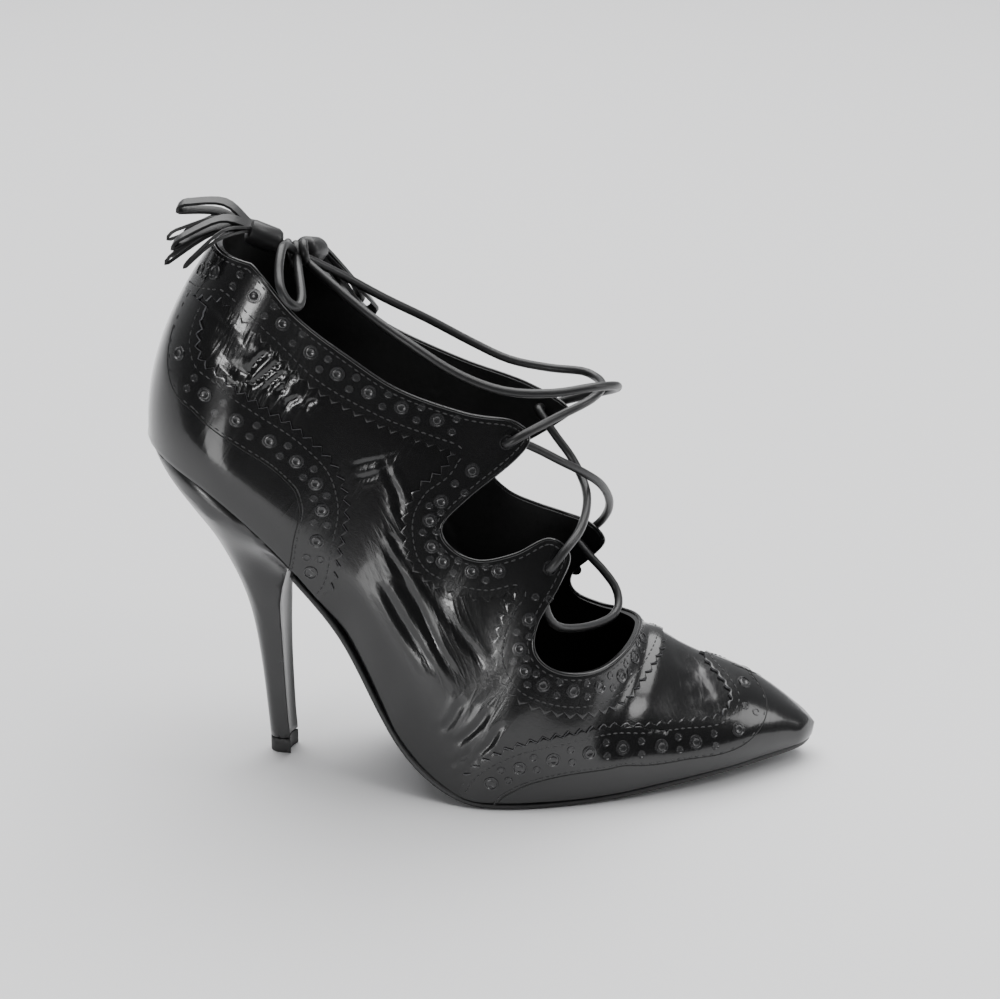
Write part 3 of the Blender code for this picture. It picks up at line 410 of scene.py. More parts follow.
def spun(profile, wide, high, steps):
    # a profile of radius and height pairs, turned round the z axis
    bm = bmesh.new()
    line = [bm.verts.new((r * wide, 0, h * high)) for r, h in profile]
    edges = [bm.edges.new(pair) for pair in zip(line, line[1:])]
    bmesh.ops.spin(bm, geom=line + edges, cent=(0, 0, 0), axis=(0, 0, 1), angle=math.tau,
                   steps=steps, use_merge=True)
    bmesh.ops.remove_doubles(bm, verts=bm.verts, dist=0.00001)
    bmesh.ops.recalc_face_normals(bm, faces=bm.faces)
    return bm


def outwards(bm):
    # welds the two halves and turns all faces away from the shoe's middle
    bmesh.ops.remove_doubles(bm, verts=bm.verts, dist=0.00002)
    bmesh.ops.recalc_face_normals(bm, faces=bm.faces)
    bm.normal_update()
    if sum(v.normal.y * v.co.y for v in bm.verts) < 0:
        bmesh.ops.reverse_faces(bm, faces=bm.faces)
        bm.normal_update()


def settle(piece):
    # the piece with its modifiers worked in
    graph = bpy.context.evaluated_depsgraph_get()
    mesh = bpy.data.meshes.new_from_object(piece.evaluated_get(graph))
    piece.modifiers.clear()
    piece.data = mesh
    return piece


def subtract(piece, cutter):
    boolean = piece.modifiers.new("cut", "BOOLEAN")
    boolean.object = cutter
    boolean.solver = "EXACT"
    settle(piece)


class Value:
    # a socket that takes part in Python expressions
    def __init__(self, socket):
        self.socket = socket

    def mixed(self, operation, other, turned=False):
        tree = self.socket.id_data
        maths = tree.nodes.new("ShaderNodeMath")
        maths.operation = operation
        for slot, end in zip(maths.inputs, (other, self) if turned else (self, other)):
            if isinstance(end, Value):
                tree.links.new(end.socket, slot)
            else:
                slot.default_value = end
        return Value(maths.outputs[0])

    def __add__(self, other):
        return self.mixed("ADD", other)

    def __radd__(self, other):
        return self.mixed("ADD", other, True)

    def __sub__(self, other):
        return self.mixed("SUBTRACT", other)

    def __rsub__(self, other):
        return self.mixed("SUBTRACT", other, True)

    def __mul__(self, other):
        return self.mixed("MULTIPLY", other)

    def __rmul__(self, other):
        return self.mixed("MULTIPLY", other, True)

    def __pow__(self, other):
        return self.mixed("POWER", other)


class Finish:
    # a material with its shader and the object's own coordinates
    def __init__(self, name, **plain):
        self.material = bpy.data.materials.new(name)
        self.material.use_nodes = True
        self.tree = self.material.node_tree
        self.shader = self.tree.nodes["Principled BSDF"]
        self.coords = Value(self.tree.nodes.new("ShaderNodeTexCoord").outputs["Object"])
        for socket, value in plain.items():
            self.shader.inputs[socket.replace("_", " ")].default_value = value

    def node(self, kind, settings=None, inputs=None, output=0):
        made = self.tree.nodes.new(kind)
        for key, value in (settings or {}).items():
            if key == "stops":
                ramp = made.color_ramp.elements
                while len(ramp) < len(value):
                    ramp.new(0.5)
                for stop, (place, shade) in zip(ramp, value):
                    stop.position = place
                    stop.color = (shade, shade, shade, 1)
            else:
                setattr(made, key, value)
        for key, value in (inputs or {}).items():
            if isinstance(value, Value):
                self.tree.links.new(value.socket, made.inputs[key])
            else:
                made.inputs[key].default_value = value
        return Value(made.outputs[output])

    def noise(self, scale, detail=3.0, rough=0.5, stretch=None, distortion=0.0):
        place = self.coords
        if stretch:
            place = self.node("ShaderNodeMapping", {"vector_type": "TEXTURE"},
                              {"Vector": place, "Rotation": stretch[0], "Scale": stretch[1]})
        return self.node("ShaderNodeTexNoise", {}, {
            "Vector": place, "Scale": scale, "Detail": detail, "Roughness": rough, "Distortion": distortion})

    def blend(self, factor, low, high, tint=1.05):
        # a grey between two, a touch bluer than neutral
        made = self.node("ShaderNodeMix", {"data_type": "RGBA"}, {"Factor": factor}, 2)
        for slot, shade in ((6, low), (7, high)):
            made.socket.node.inputs[slot].default_value = (shade, shade, shade * tint, 1)
        return made

    def feed(self, socket, value):
        self.tree.links.new(value.socket, self.shader.inputs[socket])

    def bump(self, height, strength, distance):
        made = self.tree.nodes.new("ShaderNodeBump")
        made.inputs["Strength"].default_value = strength
        made.inputs["Distance"].default_value = distance
        self.tree.links.new(height.socket, made.inputs["Height"])
        self.tree.links.new(made.outputs[0], self.shader.inputs["Normal"])


leather = {   # black glazed leather: its greys, gloss, wrinkles and the grain in the highlights
    "quarter": {"dark": 0.0025, "light": 0.0055, "rough": 0.15, "spread": 0.13, "coat": 0.40,
                "wrinkle": 0.26, "calm": 0.02, "grain": 0.36, "depth": 0.00036},
    "overlay": {"dark": 0.0030, "light": 0.0065, "rough": 0.17, "spread": 0.12, "coat": 0.40,
                "wrinkle": 0.14, "calm": 0.05, "grain": 0.36, "depth": 0.00034},
    "smooth": {"dark": 0.0030, "light": 0.0060, "rough": 0.15, "spread": 0.09, "coat": 0.45,
               "wrinkle": 0.10, "calm": 0.06, "grain": 0.20, "depth": 0.00034},
}


leatherNoise = {   # scale, detail, roughness, then the turn and stretch along the creases, and distortion
    "cloud": (30, 3, 0.55),
    "fine": (620, 4, 0.65, ((0, 0.7, 0), (1.0, 1, 0.5)), 0.7),
    "rising": (150, 2, 0.45, ((0, 0.50, 0), (0.40, 1.0, 2.8)), 0.4),
    "sinking": (150, 2, 0.45, ((0, -0.42, 0), (0.40, 1.0, 2.8)), 0.4),
}


def makeLeather(name, look):
    finish = Finish(name, Coat_Weight=look["coat"], Coat_Roughness=0.08, IOR=1.47)
    cloud, fine, rising, sinking = (finish.noise(*noise) for noise in leatherNoise.values())
    flexed, falling = (finish.node("ShaderNodeAttribute", {"attribute_name": mark}, {}, 2)
                       for mark in ("flexed", "falling"))
    folds = rising + (sinking - rising) * falling
    ridged = 1 - (folds * 2 - 1).mixed("ABSOLUTE", 0.0)
    lively = flexed * look["wrinkle"] + look["calm"]
    finish.feed("Base Color", finish.blend(cloud * 0.6 + ridged * 0.4, look["dark"], look["light"]))
    finish.feed("Roughness", look["rough"] + cloud * look["spread"] * 0.6 + fine * look["spread"] * 0.4)
    finish.bump(ridged**3 * lively + fine * look["grain"] * 0.3 + cloud * 0.5, 1.0, look["depth"])
    return finish.material


def makePlain(name, colour, rough, grainScale, grainDepth, coat=0.0):
    finish = Finish(name, Coat_Weight=coat, Coat_Roughness=0.2)
    cloud = finish.noise(40, 3, 0.5)
    grain = finish.noise(grainScale, 3, 0.6)
    finish.feed("Base Color", finish.blend(cloud, colour * 0.75, colour * 1.25))
    finish.feed("Roughness", rough - 0.06 + cloud * 0.12)
    finish.bump(grain, 0.6, grainDepth)
    return finish.material


quarterLeather = makeLeather("quarter leather", leather["quarter"])
overlayLeather = makeLeather("overlay leather", leather["overlay"])
smoothLeather = makeLeather("smooth leather", leather["smooth"])
liningLeather = makePlain("lining leather", 0.0045, 0.55, 900, 0.0001)
heelCover = makePlain("heel cover", 0.0110, 0.30, 1200, 0.00005, 0.35)
soleRubber = makePlain("sole rubber", 0.0100, 0.50, 1400, 0.00008)
laceLeather = makePlain("lace leather", 0.0120, 0.42, 1600, 0.00012, 0.15)
threadFinish = makePlain("thread", 0.0220, 0.45, 3000, 0.00004)
seamFinish = makePlain("seam", 0.0020, 0.60, 2000, 0.00004)
# cut edges: partly the lighter fibres of cut leather, partly a painted highlight, a light grey that stands in
# for the light caught by the edges of the teeth
cutEdgeAndHighlight = makePlain("cut edge and painted highlight", 0.1300, 0.38, 2200, 0.00004, 0.2)
# the brogue rings are the band's leather painted several times lighter, a painted highlight for the light
# their raised rims catch
ringHighlightLeather = makePlain("ring leather with painted highlight", 0.0180, 0.26, 2200, 0.00004, 0.4)
print("shoe: finishes made")

# The lace, with the same points as the solids, as shares of the sizes
laceWays = {
    "outer": ((0.556, -0.337, 0.684), (0.601, -0.257, 0.703), (0.646, -0.164, 0.719), (0.666, -0.053, 0.723),
              (0.671, 0.053, 0.724), (0.664, 0.132, 0.725), (0.643, 0.188, 0.730), (0.594, 0.237, 0.730),
              (0.534, 0.261, 0.743), (0.478, 0.270, 0.775), (0.413, 0.247, 0.822), (0.347, 0.184, 0.871),
              (0.286, 0.095, 0.925)),
    "inner": ((0.633, 0.200, 0.676), (0.674, 0.124, 0.699), (0.692, 0.039, 0.717), (0.692, -0.053, 0.734),
              (0.680, -0.138, 0.746), (0.652, -0.211, 0.753), (0.594, -0.261, 0.749), (0.525, -0.280, 0.756),
              (0.459, -0.280, 0.787), (0.394, -0.247, 0.835), (0.333, -0.184, 0.882), (0.281, -0.108, 0.927)),
    "bow": ((0.215, -0.118, 1.002), (0.211, -0.197, 1.007), (0.209, -0.270, 0.994), (0.209, -0.329, 0.976),
              (0.213, -0.392, 0.957), (0.223, -0.413, 0.936), (0.236, -0.395, 0.924), (0.240, -0.337, 0.932),
              (0.236, -0.250, 0.950), (0.231, -0.158, 0.965)),
    "crossOuter": ((0.614, -0.447, 0.482), (0.633, -0.375, 0.502), (0.644, -0.257, 0.514),
              (0.649, -0.118, 0.526), (0.645, 0.008, 0.541), (0.628, 0.079, 0.576), (0.605, 0.092, 0.615),
              (0.589, 0.113, 0.642)),
    "crossInner": ((0.677, 0.263, 0.422), (0.687, 0.203, 0.457), (0.684, 0.118, 0.495), (0.669, 0.007, 0.538),
              (0.640, -0.097, 0.577), (0.609, -0.166, 0.607), (0.579, -0.200, 0.632), (0.553, -0.226, 0.650)),
    "bar": ((0.586, -0.392, 0.399), (0.587, -0.403, 0.358), (0.605, -0.355, 0.317), (0.645, -0.204, 0.287),
              (0.684, -0.046, 0.274), (0.701, 0.055, 0.281), (0.699, 0.118, 0.306), (0.681, 0.137, 0.338),
              (0.659, 0.147, 0.368)),
}
knotAt = (0.225, -0.013, 0.977)
laceFit = {   # how far the lace's middle is off the leather at an eyelet, and off the knot's middle
    "inside": -0.0012, "outside": 0.0026, "under": -0.0036, "start": -0.0014, "knot": 0.0030,
}
laceSteps = 4   # points between two of those above, and round the lace


def placed(along, aside, up):
    return Vector((-shoe["heelSetback"] + along * shoe["length"], aside * shoe["ballWidth"],
                   up * shoe["collarHeight"]))


def offTab(tab, away):
    side, along, up = eyelets[tab]
    place, out = surfaceFrame(*findOnLast(*inShoe(along, up), side), side)
    return place + out * away


def tubes(name, lines, radius, resolution):
    # one curve with a round tube along each line
    curve = bpy.data.curves.new(name, "CURVE")
    curve.dimensions = "3D"
    curve.bevel_depth = radius
    curve.bevel_resolution = resolution
    curve.use_fill_caps = True
    for places in lines:
        line = curve.splines.new("POLY")
        line.points.add(len(places) - 1)
        for point, place in zip(line.points, places):
            point.co = (*place, 1)
    return curve


def laceCurve(name, points, diameter):
    path = smoothLine([tuple(p) for p in points], laceSteps)
    curve = tubes(name, [path], diameter / 2, laceSteps)
    curve.materials.append(laceLeather)
    return linked(name, curve), path


def nearKnot(towards, away):
    middle = placed(*knotAt)
    return middle + (towards - middle).normalized() * away


outer, inner, bow = ([placed(*p) for p in laceWays[name]] for name in ("outer", "inner", "bow"))
strands = {   # each free strand from where it leaves the shoe to the knot
    "lace_outer_strand": [offTab("upperOuter", laceFit["inside"]), offTab("upperOuter", laceFit["outside"])]
    + outer + [nearKnot(outer[-1], laceFit["knot"])],
    "lace_inner_strand": [offTab("upperInner", laceFit["inside"]), offTab("upperInner", laceFit["outside"])]
    + inner + [nearKnot(inner[-1], laceFit["knot"])],
    "lace_bow": [nearKnot(bow[0], laceFit["knot"])] + bow + [nearKnot(bow[-1], laceFit["knot"])],
}
for node, points in strands.items():
    piece, path = laceCurve(node.replace("_", "-"), points, shoe["lace"])
    onShoe(piece, "lace_leather", node)
    length = sum((Vector(b) - Vector(a)).length for a, b in zip(path, path[1:]))
    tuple(path[0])
crossings = (   # node, way, and the tabs that it joins with the lace's distances from them
    ("lace_cross_outer", "crossOuter", "lowerOuter", ("start", "outside"), "upperInner", ("under", "inside")),
    ("lace_cross_inner", "crossInner", "lowerInner", ("start", "outside"), "upperOuter", ("under", "inside")),
    ("lace_bar", "bar", "lowerOuter", ("under",), "lowerInner", ("under",)),
)
for node, way, fromTab, leaving, toTab, ending in crossings:
    points = ([offTab(fromTab, laceFit[where]) for where in leaving] + [placed(*p) for p in laceWays[way]]
              + [offTab(toTab, laceFit[where]) for where in ending])
    piece, path = laceCurve(node.replace("_", "-"), points, shoe["lace"])
    onShoe(piece, "lace_leather", node)
print("shoe: lace laid")

creases = (   # x and z of both ends in millimetres, half width, depth, in the side view
    (-14, 139, -8, 150, 1.0, 0.5), (-12, 136, -3, 147, 0.9, 0.6), (-9, 134, 1, 146, 1.0, 0.7),
    (-6, 133, 5, 143, 0.9, 0.7), (-1, 132, 6, 140, 1.1, 0.6), (3, 132, 9, 138, 0.9, 0.5),
    (5, 127, 10, 132, 0.9, 0.5), (11, 127, 15, 131, 0.8, 0.4), (-18, 149, -9, 160, 1.0, 0.5),
    (-19, 152, -12, 160, 0.9, 0.4), (-16, 143, -9, 154, 1.0, 0.5), (-18, 146, -11, 156, 0.9, 0.4),
    (37, 88, 43, 75, 1.1, 0.5), (36, 83, 53, 50, 1.2, 0.7), (37, 76, 57, 43, 1.3, 0.6),
    (41, 88, 56, 64, 1.1, 0.6), (33, 72, 51, 43, 1.4, 0.5), (45, 75, 67, 46, 1.2, 0.5),
    (35, 112, 41, 92, 1.2, 0.4), (38, 104, 42, 88, 1.0, 0.4), (43, 115, 55, 117, 0.8, 0.4),
    (25, 108, 40, 113, 1.0, 0.3), (27, 104, 40, 110, 0.9, 0.3),
    (57, 20, 68, 34, 1.1, 0.5), (62, 14, 70, 28, 1.0, 0.5), (56, 13, 61, 20, 0.9, 0.4),
    (52, 24, 60, 36, 1.2, 0.4), (66, 20, 72, 30, 0.9, 0.3),
    (132, 30, 146, 21, 1.2, 0.25), (130, 34, 141, 27, 1.0, 0.25), (127, 38, 137, 32, 1.0, 0.25),
)
creaseLook = {   # how a crease sways and fades at its ends, its low ridges, its limits, all in millimetres
    "sway": 0.35, "waves": 7, "straight": 0.32, "fade": 0.11, "ridge": 0.45, "ridgeOff": 1.9,
    "deepest": -1.3, "highest": 0.35, "reach": 5.5,
}


def creaseDepths(xs, zs):
    # soft troughs with a low ridge on each side
    total = np.zeros(len(xs))
    for x0, z0, x1, z1, wide, deep in creases:
        dx, dz = x1 - x0, z1 - z0
        long = math.hypot(dx, dz)
        along = ((xs - x0) * dx + (zs - z0) * dz) / long**2
        off = ((xs - x0) * dz - (zs - z0) * dx) / long
        off = off + creaseLook["sway"] * np.sin(along * creaseLook["waves"] + x0)
        past = np.clip(np.abs(along - 0.5) - creaseLook["straight"], 0, None)
        ends = np.exp(-(past / creaseLook["fade"]) ** 2)
        ridge = np.exp(-((np.abs(off) - creaseLook["ridgeOff"] * wide) / wide) ** 2)
        total += ends * deep * (creaseLook["ridge"] * ridge - np.exp(-(off / wide) ** 2))
    return total


upperSteps = {"heel": 14, "back": 122, "front": 56, "toe": 8, "arch": 132, "turn": 0.52}


def stations():
    # places along the last, closer together in the rounds of heel and toe and where the leather creases
    heel, back, front, toe, middle = (upperSteps[name] for name in ("heel", "back", "front", "toe", "turn"))
    turn = [shoe["heelRound"] * (1 - math.cos(math.pi / 2 * k / heel)) for k in range(heel)]
    tip = [1 - shoe["toeRound"] + shoe["toeRound"] * math.sin(math.pi / 2 * k / toe)
           for k in range(1, toe + 1)]
    start, end = shoe["heelRound"], 1 - shoe["toeRound"]
    return (turn + [start + (middle - start) * k / back for k in range(back)]
            + [middle + (end - middle) * k / front for k in range(front + 1)] + tip)


def makeUpper(overlays):
    ats = stations()
    bm = bmesh.new()
    for side in (-1, 1):
        mappedGrid(bm, len(ats) - 1, upperSteps["arch"],
                   lambda i, j: lastPoint(ats[i], j / upperSteps["arch"], side))
    outwards(bm)
    places = np.array([v.co for v in bm.verts]) * 1000
    depths = creaseDepths(places[:, 0], places[:, 2])
    depths = np.clip(depths, creaseLook["deepest"], creaseLook["highest"]) / 1000
    for v, depth in zip(bm.verts, depths):
        if abs(depth) > 0.00001:
            away = min(tree.find_nearest(v.co)[3] for tree in overlays)
            v.co += v.normal * depth * min(max((away - 0.0003) / 0.0016, 0), 1)
    piece = newPiece("leather-shell", bm, quarterLeather)
    piece.data.materials.append(liningLeather)
    shell = piece.modifiers.new("wall", "SOLIDIFY")
    shell.thickness = shoe["wall"]
    shell.offset = -1
    shell.material_offset = 1
    return settle(piece)


def markFlexed(piece):
    # how much the leather is wrinkled at each point and which way, for the finish
    places = np.empty(len(piece.data.vertices) * 3)
    piece.data.vertices.foreach_get("co", places)
    places = places.reshape(-1, 3) * 1000
    total, falling = np.zeros(len(places)), np.zeros(len(places))
    for x0, z0, x1, z1, wide, deep in creases:
        dx, dz = x1 - x0, z1 - z0
        along = np.clip(((places[:, 0] - x0) * dx + (places[:, 2] - z0) * dz) / (dx * dx + dz * dz), 0, 1)
        off = np.hypot(places[:, 0] - x0 - along * dx, places[:, 2] - z0 - along * dz)
        near = deep * np.exp(-((off / creaseLook["reach"]) ** 2))
        total += near
        falling += near * (dx * dz < 0)
    falling = falling / np.maximum(total, 1e-6)
    for name, values in (("flexed", np.clip(total, 0, 1)), ("falling", falling)):
        marks = piece.data.attributes.new(name, "FLOAT", "POINT")
        marks.data.foreach_set("value", values)


# The opening's prism: where it turns from one outline to the other, its top, and its steps past the edge
opening = {"middle": 0.004, "top": 1.4, "front": (0.001, 0.012), "back": (-0.02, 0.001)}


def openingCutter(lines):
    # one prism from the outer outline to the inner one
    bm = bmesh.new()
    rings = []
    far, near, above = shoe["ballWidth"], opening["middle"], shoe["collarHeight"] * opening["top"]
    for y, side in ((-far, -1), (-near, -1), (near, 1), (far, 1)):
        outline = [lastPoint(at, arch, side) for at, arch in lines[side][0]]
        outline = [(p.x, p.z) for p in outline]
        back, front = outline[0], outline[-1]
        outline += [(front[0] + opening["front"][0], front[1] + opening["front"][1]),
                    (shoe["length"], above), (-2 * shoe["heelSetback"], above),
                    (back[0] + opening["back"][0], back[1] + opening["back"][1])]
        rings.append([bm.verts.new((x, y, z)) for x, z in outline])
    bridged(bm, rings)
    bmesh.ops.recalc_face_normals(bm, faces=bm.faces)
    return newPiece("opening-cutter", bm, seamFinish, False)


bandLines = {side: edgeLines(side) for side in (-1, 1)}
print("shoe: edges drawn")

pinking = {   # the overlays and their pinked edges; foot is the arch where counter and wing start
    "pitch": 0.0040, "depth": 0.0019, "least": 0.0002, "steps": 4, "seat": 0.00005, "thickness": 0.00075,
    "bevel": 0.00026, "bevelSteps": 2, "foot": 0.012, "sharp": 35,
}


def zigzag(run):
    t = run / pinking["pitch"] % 1.0
    return 1 - abs(2 * t - 1)


def pinkedKeys(guide, turn):
    # evenly spaced pairs along the guide: the valley line, and the tips moved out square to it
    count = round(guide.run[-1] / (pinking["pitch"] / pinking["steps"]))
    keys, shares = [], []
    for k in range(count + 1):
        run = guide.run[-1] * k / count
        place, tangent, out = guide.at(run)
        key = guide.keyAt(run)
        tip = key
        if 0 < k < count:
            ends = min(run, guide.run[-1] - run) / pinking["pitch"]
            tooth = pinking["least"] + zigzag(run) * pinking["depth"] * min(max(ends - 0.5, 0), 1)
            tip = insetPoint(place, tangent, out, -tooth, guide.side, turn, key)
        keys.append((key, tip))
        shares.append(run / guide.run[-1])
    return keys, shares


def toothed(rib, tip):
    # a rib that ends on the valley line, drawn on to the tip
    return rib + [lerpKeys(rib[-1], tip, 0.5), tip]


def overlay(name, node, halves, finish, rows):
    # halves: for each side the ribs, each a list of at and arch pairs
    bm = bmesh.new()
    for side, ribs in halves.items():
        mappedGrid(bm, len(ribs) - 1, rows, lambda i, j: lastPoint(*ribs[i][j], side))
    outwards(bm)
    for v, normal in [(v, v.normal.copy()) for v in bm.verts]:
        v.co += normal * pinking["seat"]
    piece = newPiece(name, bm, finish)
    # the rim walls and the rounded edge take the cut edge's light grey, partly a painted highlight along the
    # teeth
    piece.data.materials.append(cutEdgeAndHighlight)
    shell = piece.modifiers.new("thickness", "SOLIDIFY")
    shell.thickness = pinking["thickness"]
    shell.offset = 1
    shell.material_offset_rim = 1
    edge = piece.modifiers.new("edge bevel with painted highlight", "BEVEL")
    edge.width = pinking["bevel"]
    edge.segments = pinking["bevelSteps"]
    edge.limit_method = "ANGLE"
    edge.angle_limit = math.radians(50)
    edge.material = 1
    settle(piece)
    smoothed(piece.data, pinking["sharp"])
    onShoe(piece, "glossy_leather", node)
    return piece


def keyLine(keys, share):
    place = share * (len(keys) - 1)
    k = min(int(place), len(keys) - 2)
    return lerpKeys(keys[k], keys[k + 1], place - k)


def bandHalf(side):
    plain, pinked = bandLines[side]
    guide = Guide(pinked, side)
    turn = insideTurn(guide, plain)
    keys, shares = pinkedKeys(guide, turn)
    ribs = []
    lengths = np.array(guide.run) / guide.run[-1]
    for (key, tip), share in zip(keys, shares):
        k, t = spotIn(lengths, share)
        start = lerpKeys(plain[k], plain[k + 1], t)
        ribs.append(toothed([lerpKeys(start, key, j / 8) for j in range(9)], tip))
    return ribs, guide, turn


def insideTurn(guide, other):
    # whether out x tangent points from the guide to the other line
    middle = len(guide.keys) // 2
    place, tangent, out = guide.at(guide.run[middle])
    there = lastPoint(*keyLine(other, 0.5), guide.side)
    return 1 if (there - place).dot(out.cross(tangent)) > 0 else -1


# corner: the share of the ribs that ends on the feather edge, the rest ends on the heel's back
counterPlan = {"corner": 0.48, "power": 0.8, "front": 0.995}


def counterHalf(side):
    points = smoothLine([inShoe(along, up) for along, up in counterRows], 12)
    keys = [findOnLast(x, z, side) for x, z in points]
    guide = Guide(keys, side)
    corner, low, high = counterPlan["corner"], pinking["foot"], keys[-1][1]

    def foot(share):
        if share < corner:
            return ((1 - share / corner) ** counterPlan["power"] * keys[0][0] * counterPlan["front"], low)
        return (0.0, low + (high - low) * (share - corner) / (1 - corner))

    turn = insideTurn(guide, [foot(k / 10) for k in range(11)])
    pinked, shares = pinkedKeys(guide, turn)
    ribs = []
    for (key, tip), share in zip(pinked, shares):
        start = foot(share)
        ribs.append(toothed([lerpKeys(start, key, j / 26) for j in range(27)], tip))
    return ribs, guide, turn


def rounded(at):
    # spaces even steps closer together towards the toe's end
    share = max(at - 1 + shoe["toeRound"], 0) / shoe["toeRound"]
    return min(at, 1 - shoe["toeRound"]) + shoe["toeRound"] * math.sin(share * math.pi / 2)


def wingHalf(side):
    rows = smoothLine(wingRows, 12)
    keys = [findOnLast(*inShoe(along, up), side) for foot, along, up in rows]
    keys[-1] = (keys[-1][0], 1.0)
    guide = Guide(keys, side)
    turn = insideTurn(guide, [(foot, pinking["foot"]) for foot, along, up in rows])
    pinked, shares = pinkedKeys(guide, turn)
    lengths = np.array(guide.run) / guide.run[-1]
    ribs = []
    for (key, tip), share in zip(pinked, shares):
        k, t = spotIn(lengths, share)
        foot = rows[k][0] + (rows[k + 1][0] - rows[k][0]) * t
        foot = 1.0 if share == 1.0 else rounded(foot)
        bend = (foot, key[1])
        rib = [lerpKeys((foot, pinking["foot"]), bend, j / 14) for j in range(14)]
        rib += [lerpKeys(bend, key, j / 8) for j in range(9)]
        ribs.append(toothed(rib, tip))
    return ribs, guide, turn


bandHalves, counterHalves, wingHalves = ({side: half(side) for side in (-1, 1)}
                                         for half in (bandHalf, counterHalf, wingHalf))
overlays = []
for name, node, halves, finish, rows in (
        ("collar-band", "eyestay_band", bandHalves, overlayLeather, 10),
        ("heel-counter", "heel_counter", counterHalves, smoothLeather, 28),
        ("toe-cap", "toe_cap", wingHalves, smoothLeather, 24)):
    overlays.append(overlay(name, node, {side: half[0] for side, half in halves.items()}, finish, rows))
print("shoe: overlays pinked")


def treeOf(piece):
    return BVHTree.FromPolygons([v.co.copy() for v in piece.data.vertices],
                                [tuple(p.vertices) for p in piece.data.polygons])


upper = makeUpper([treeOf(piece) for piece in overlays])
cutter = openingCutter(bandLines)
subtract(upper, cutter)
bpy.data.objects.remove(cutter)
smoothed(upper.data, 50)
markFlexed(upper)
onShoe(upper, "glossy_leather", "upper")
print("shoe: upper cut and creased,", len(upper.data.polygons), "faces")

brogue = {   # the pitch of the holes, and how far the small ones are from the row
    "pitch": 0.0117, "pair": 0.0021,
    # radius, steps round, and the profile of a raised rim round a punched pit, in shares of the radius
    "big": (0.0024, 16, ((1.0, -0.05), (0.94, 0.14), (0.80, 0.15), (0.70, 0.02), (0.52, 0.015),
                         (0.44, 0.07), (0.28, 0.015), (0.0, 0.01))),
    "small": (0.0014, 10, ((1.0, -0.05), (0.92, 0.18), (0.72, 0.18), (0.56, 0.015), (0.0, 0.01))),
}
stitch = {"half": (0.00085, 0.00026, 0.00022), "pitch": 0.0023, "inset": 0.0016, "lift": 0.00002}
seam = {"radius": 0.00022, "pitch": 0.0012, "sunk": 0.00005, "at": 0.055}
piping = {"radius": 0.00062, "lift": 0.55}   # the folded edge, about half way up the two leathers


def ringTemplate(size):
    radius, steps, profile = brogue[size]
    bm = spun(profile, radius, radius, steps)
    if sum(f.normal.z for f in bm.faces) < 0:
        bmesh.ops.reverse_faces(bm, faces=bm.faces)
    return meshOf(size + " ring", bm)


def stitchTemplate():
    bm = bmesh.new()
    bmesh.ops.create_uvsphere(bm, u_segments=6, v_segments=4, radius=1.0)
    bmesh.ops.scale(bm, vec=stitch["half"], verts=bm.verts)
    return meshOf("stitch", bm)


def standing(place, tangent, out, lift):
    across = out.cross(tangent).normalized()
    turn = Matrix((tangent, across, out)).transposed().to_4x4()
    turn.translation = place + out * lift
    return turn


def repeated(name, template, matrices, finish):
    bm = bmesh.new()
    for matrix in matrices:
        copy = template.copy()
        copy.transform(matrix)
        bm.from_mesh(copy)
        bpy.data.meshes.remove(copy)
    onShoe(newPiece(name, bm, finish), "glossy_leather")


def rowAt(guide, turn, inset, pitch, start, end):
    # places in a row at a real distance inside a pinked edge
    count = max(1, round((guide.run[-1] * (end - start)) / pitch))
    for k in range(count):
        run = guide.run[-1] * start + guide.run[-1] * (end - start) * (k + 0.5) / count
        place, tangent, out = guide.at(run)
        at, arch = insetPoint(place, tangent, out, inset, guide.side, turn, guide.keyAt(run))
        here, normal = surfaceFrame(at, arch, guide.side)
        yield here, (tangent - normal * tangent.dot(normal)).normalized(), normal


top = pinking["seat"] + pinking["thickness"]
bigOnes, smallOnes, stitches = [], [], []
rowPlans = (   # halves, inset of the holes, insets of the stitch rows, start and end shares
    (bandHalves, 0.0068, (stitch["inset"],), 0.02, 0.985),
    (counterHalves, 0.0066, (stitch["inset"], 0.0126), 0.03, 0.93),
    (wingHalves, 0.0062, (stitch["inset"], 0.0116), 0.04, 0.91),
)


def stitchRow(guide, turn, inset, start, end):
    for frameHere in rowAt(guide, turn, inset, stitch["pitch"], start, end):
        stitches.append(standing(*frameHere, top + stitch["lift"]))


for halves, holeInset, stitchInsets, start, end in rowPlans:
    for ribs, guide, turn in halves.values():
        for frameHere in rowAt(guide, turn, holeInset, brogue["pitch"], start, end):
            bigOnes.append(standing(*frameHere, top))
        span = guide.run[-1] * (end - start)
        shift = span / max(1, round(span / brogue["pitch"])) / 2 / guide.run[-1]
        for inset in (holeInset - brogue["pair"], holeInset + brogue["pair"]):
            for frameHere in rowAt(guide, turn, inset, brogue["pitch"], start + shift, end - shift):
                smallOnes.append(standing(*frameHere, top))
        for inset in stitchInsets:
            stitchRow(guide, turn, inset, 0.01, 0.99)
guideOf = {side: Guide(bandLines[side][0], side) for side in (-1, 1)}
for side, guide in guideOf.items():
    stitchRow(guide, insideTurn(guide, bandLines[side][1]), stitch["inset"], 0.005, 0.995)
for side, along, up in eyelets.values():
    here, normal = surfaceFrame(*findOnLast(*inShoe(along, up), side), side)
    bigOnes.append(standing(here, normal.orthogonal().normalized(), normal, top))
# rings in the lighter ring finish, whose extra lightness is a painted highlight
repeated("brogue-rings", ringTemplate("big"), bigOnes, ringHighlightLeather)
repeated("small-brogue-rings", ringTemplate("small"), smallOnes, ringHighlightLeather)
repeated("stitches", stitchTemplate(), stitches, threadFinish)


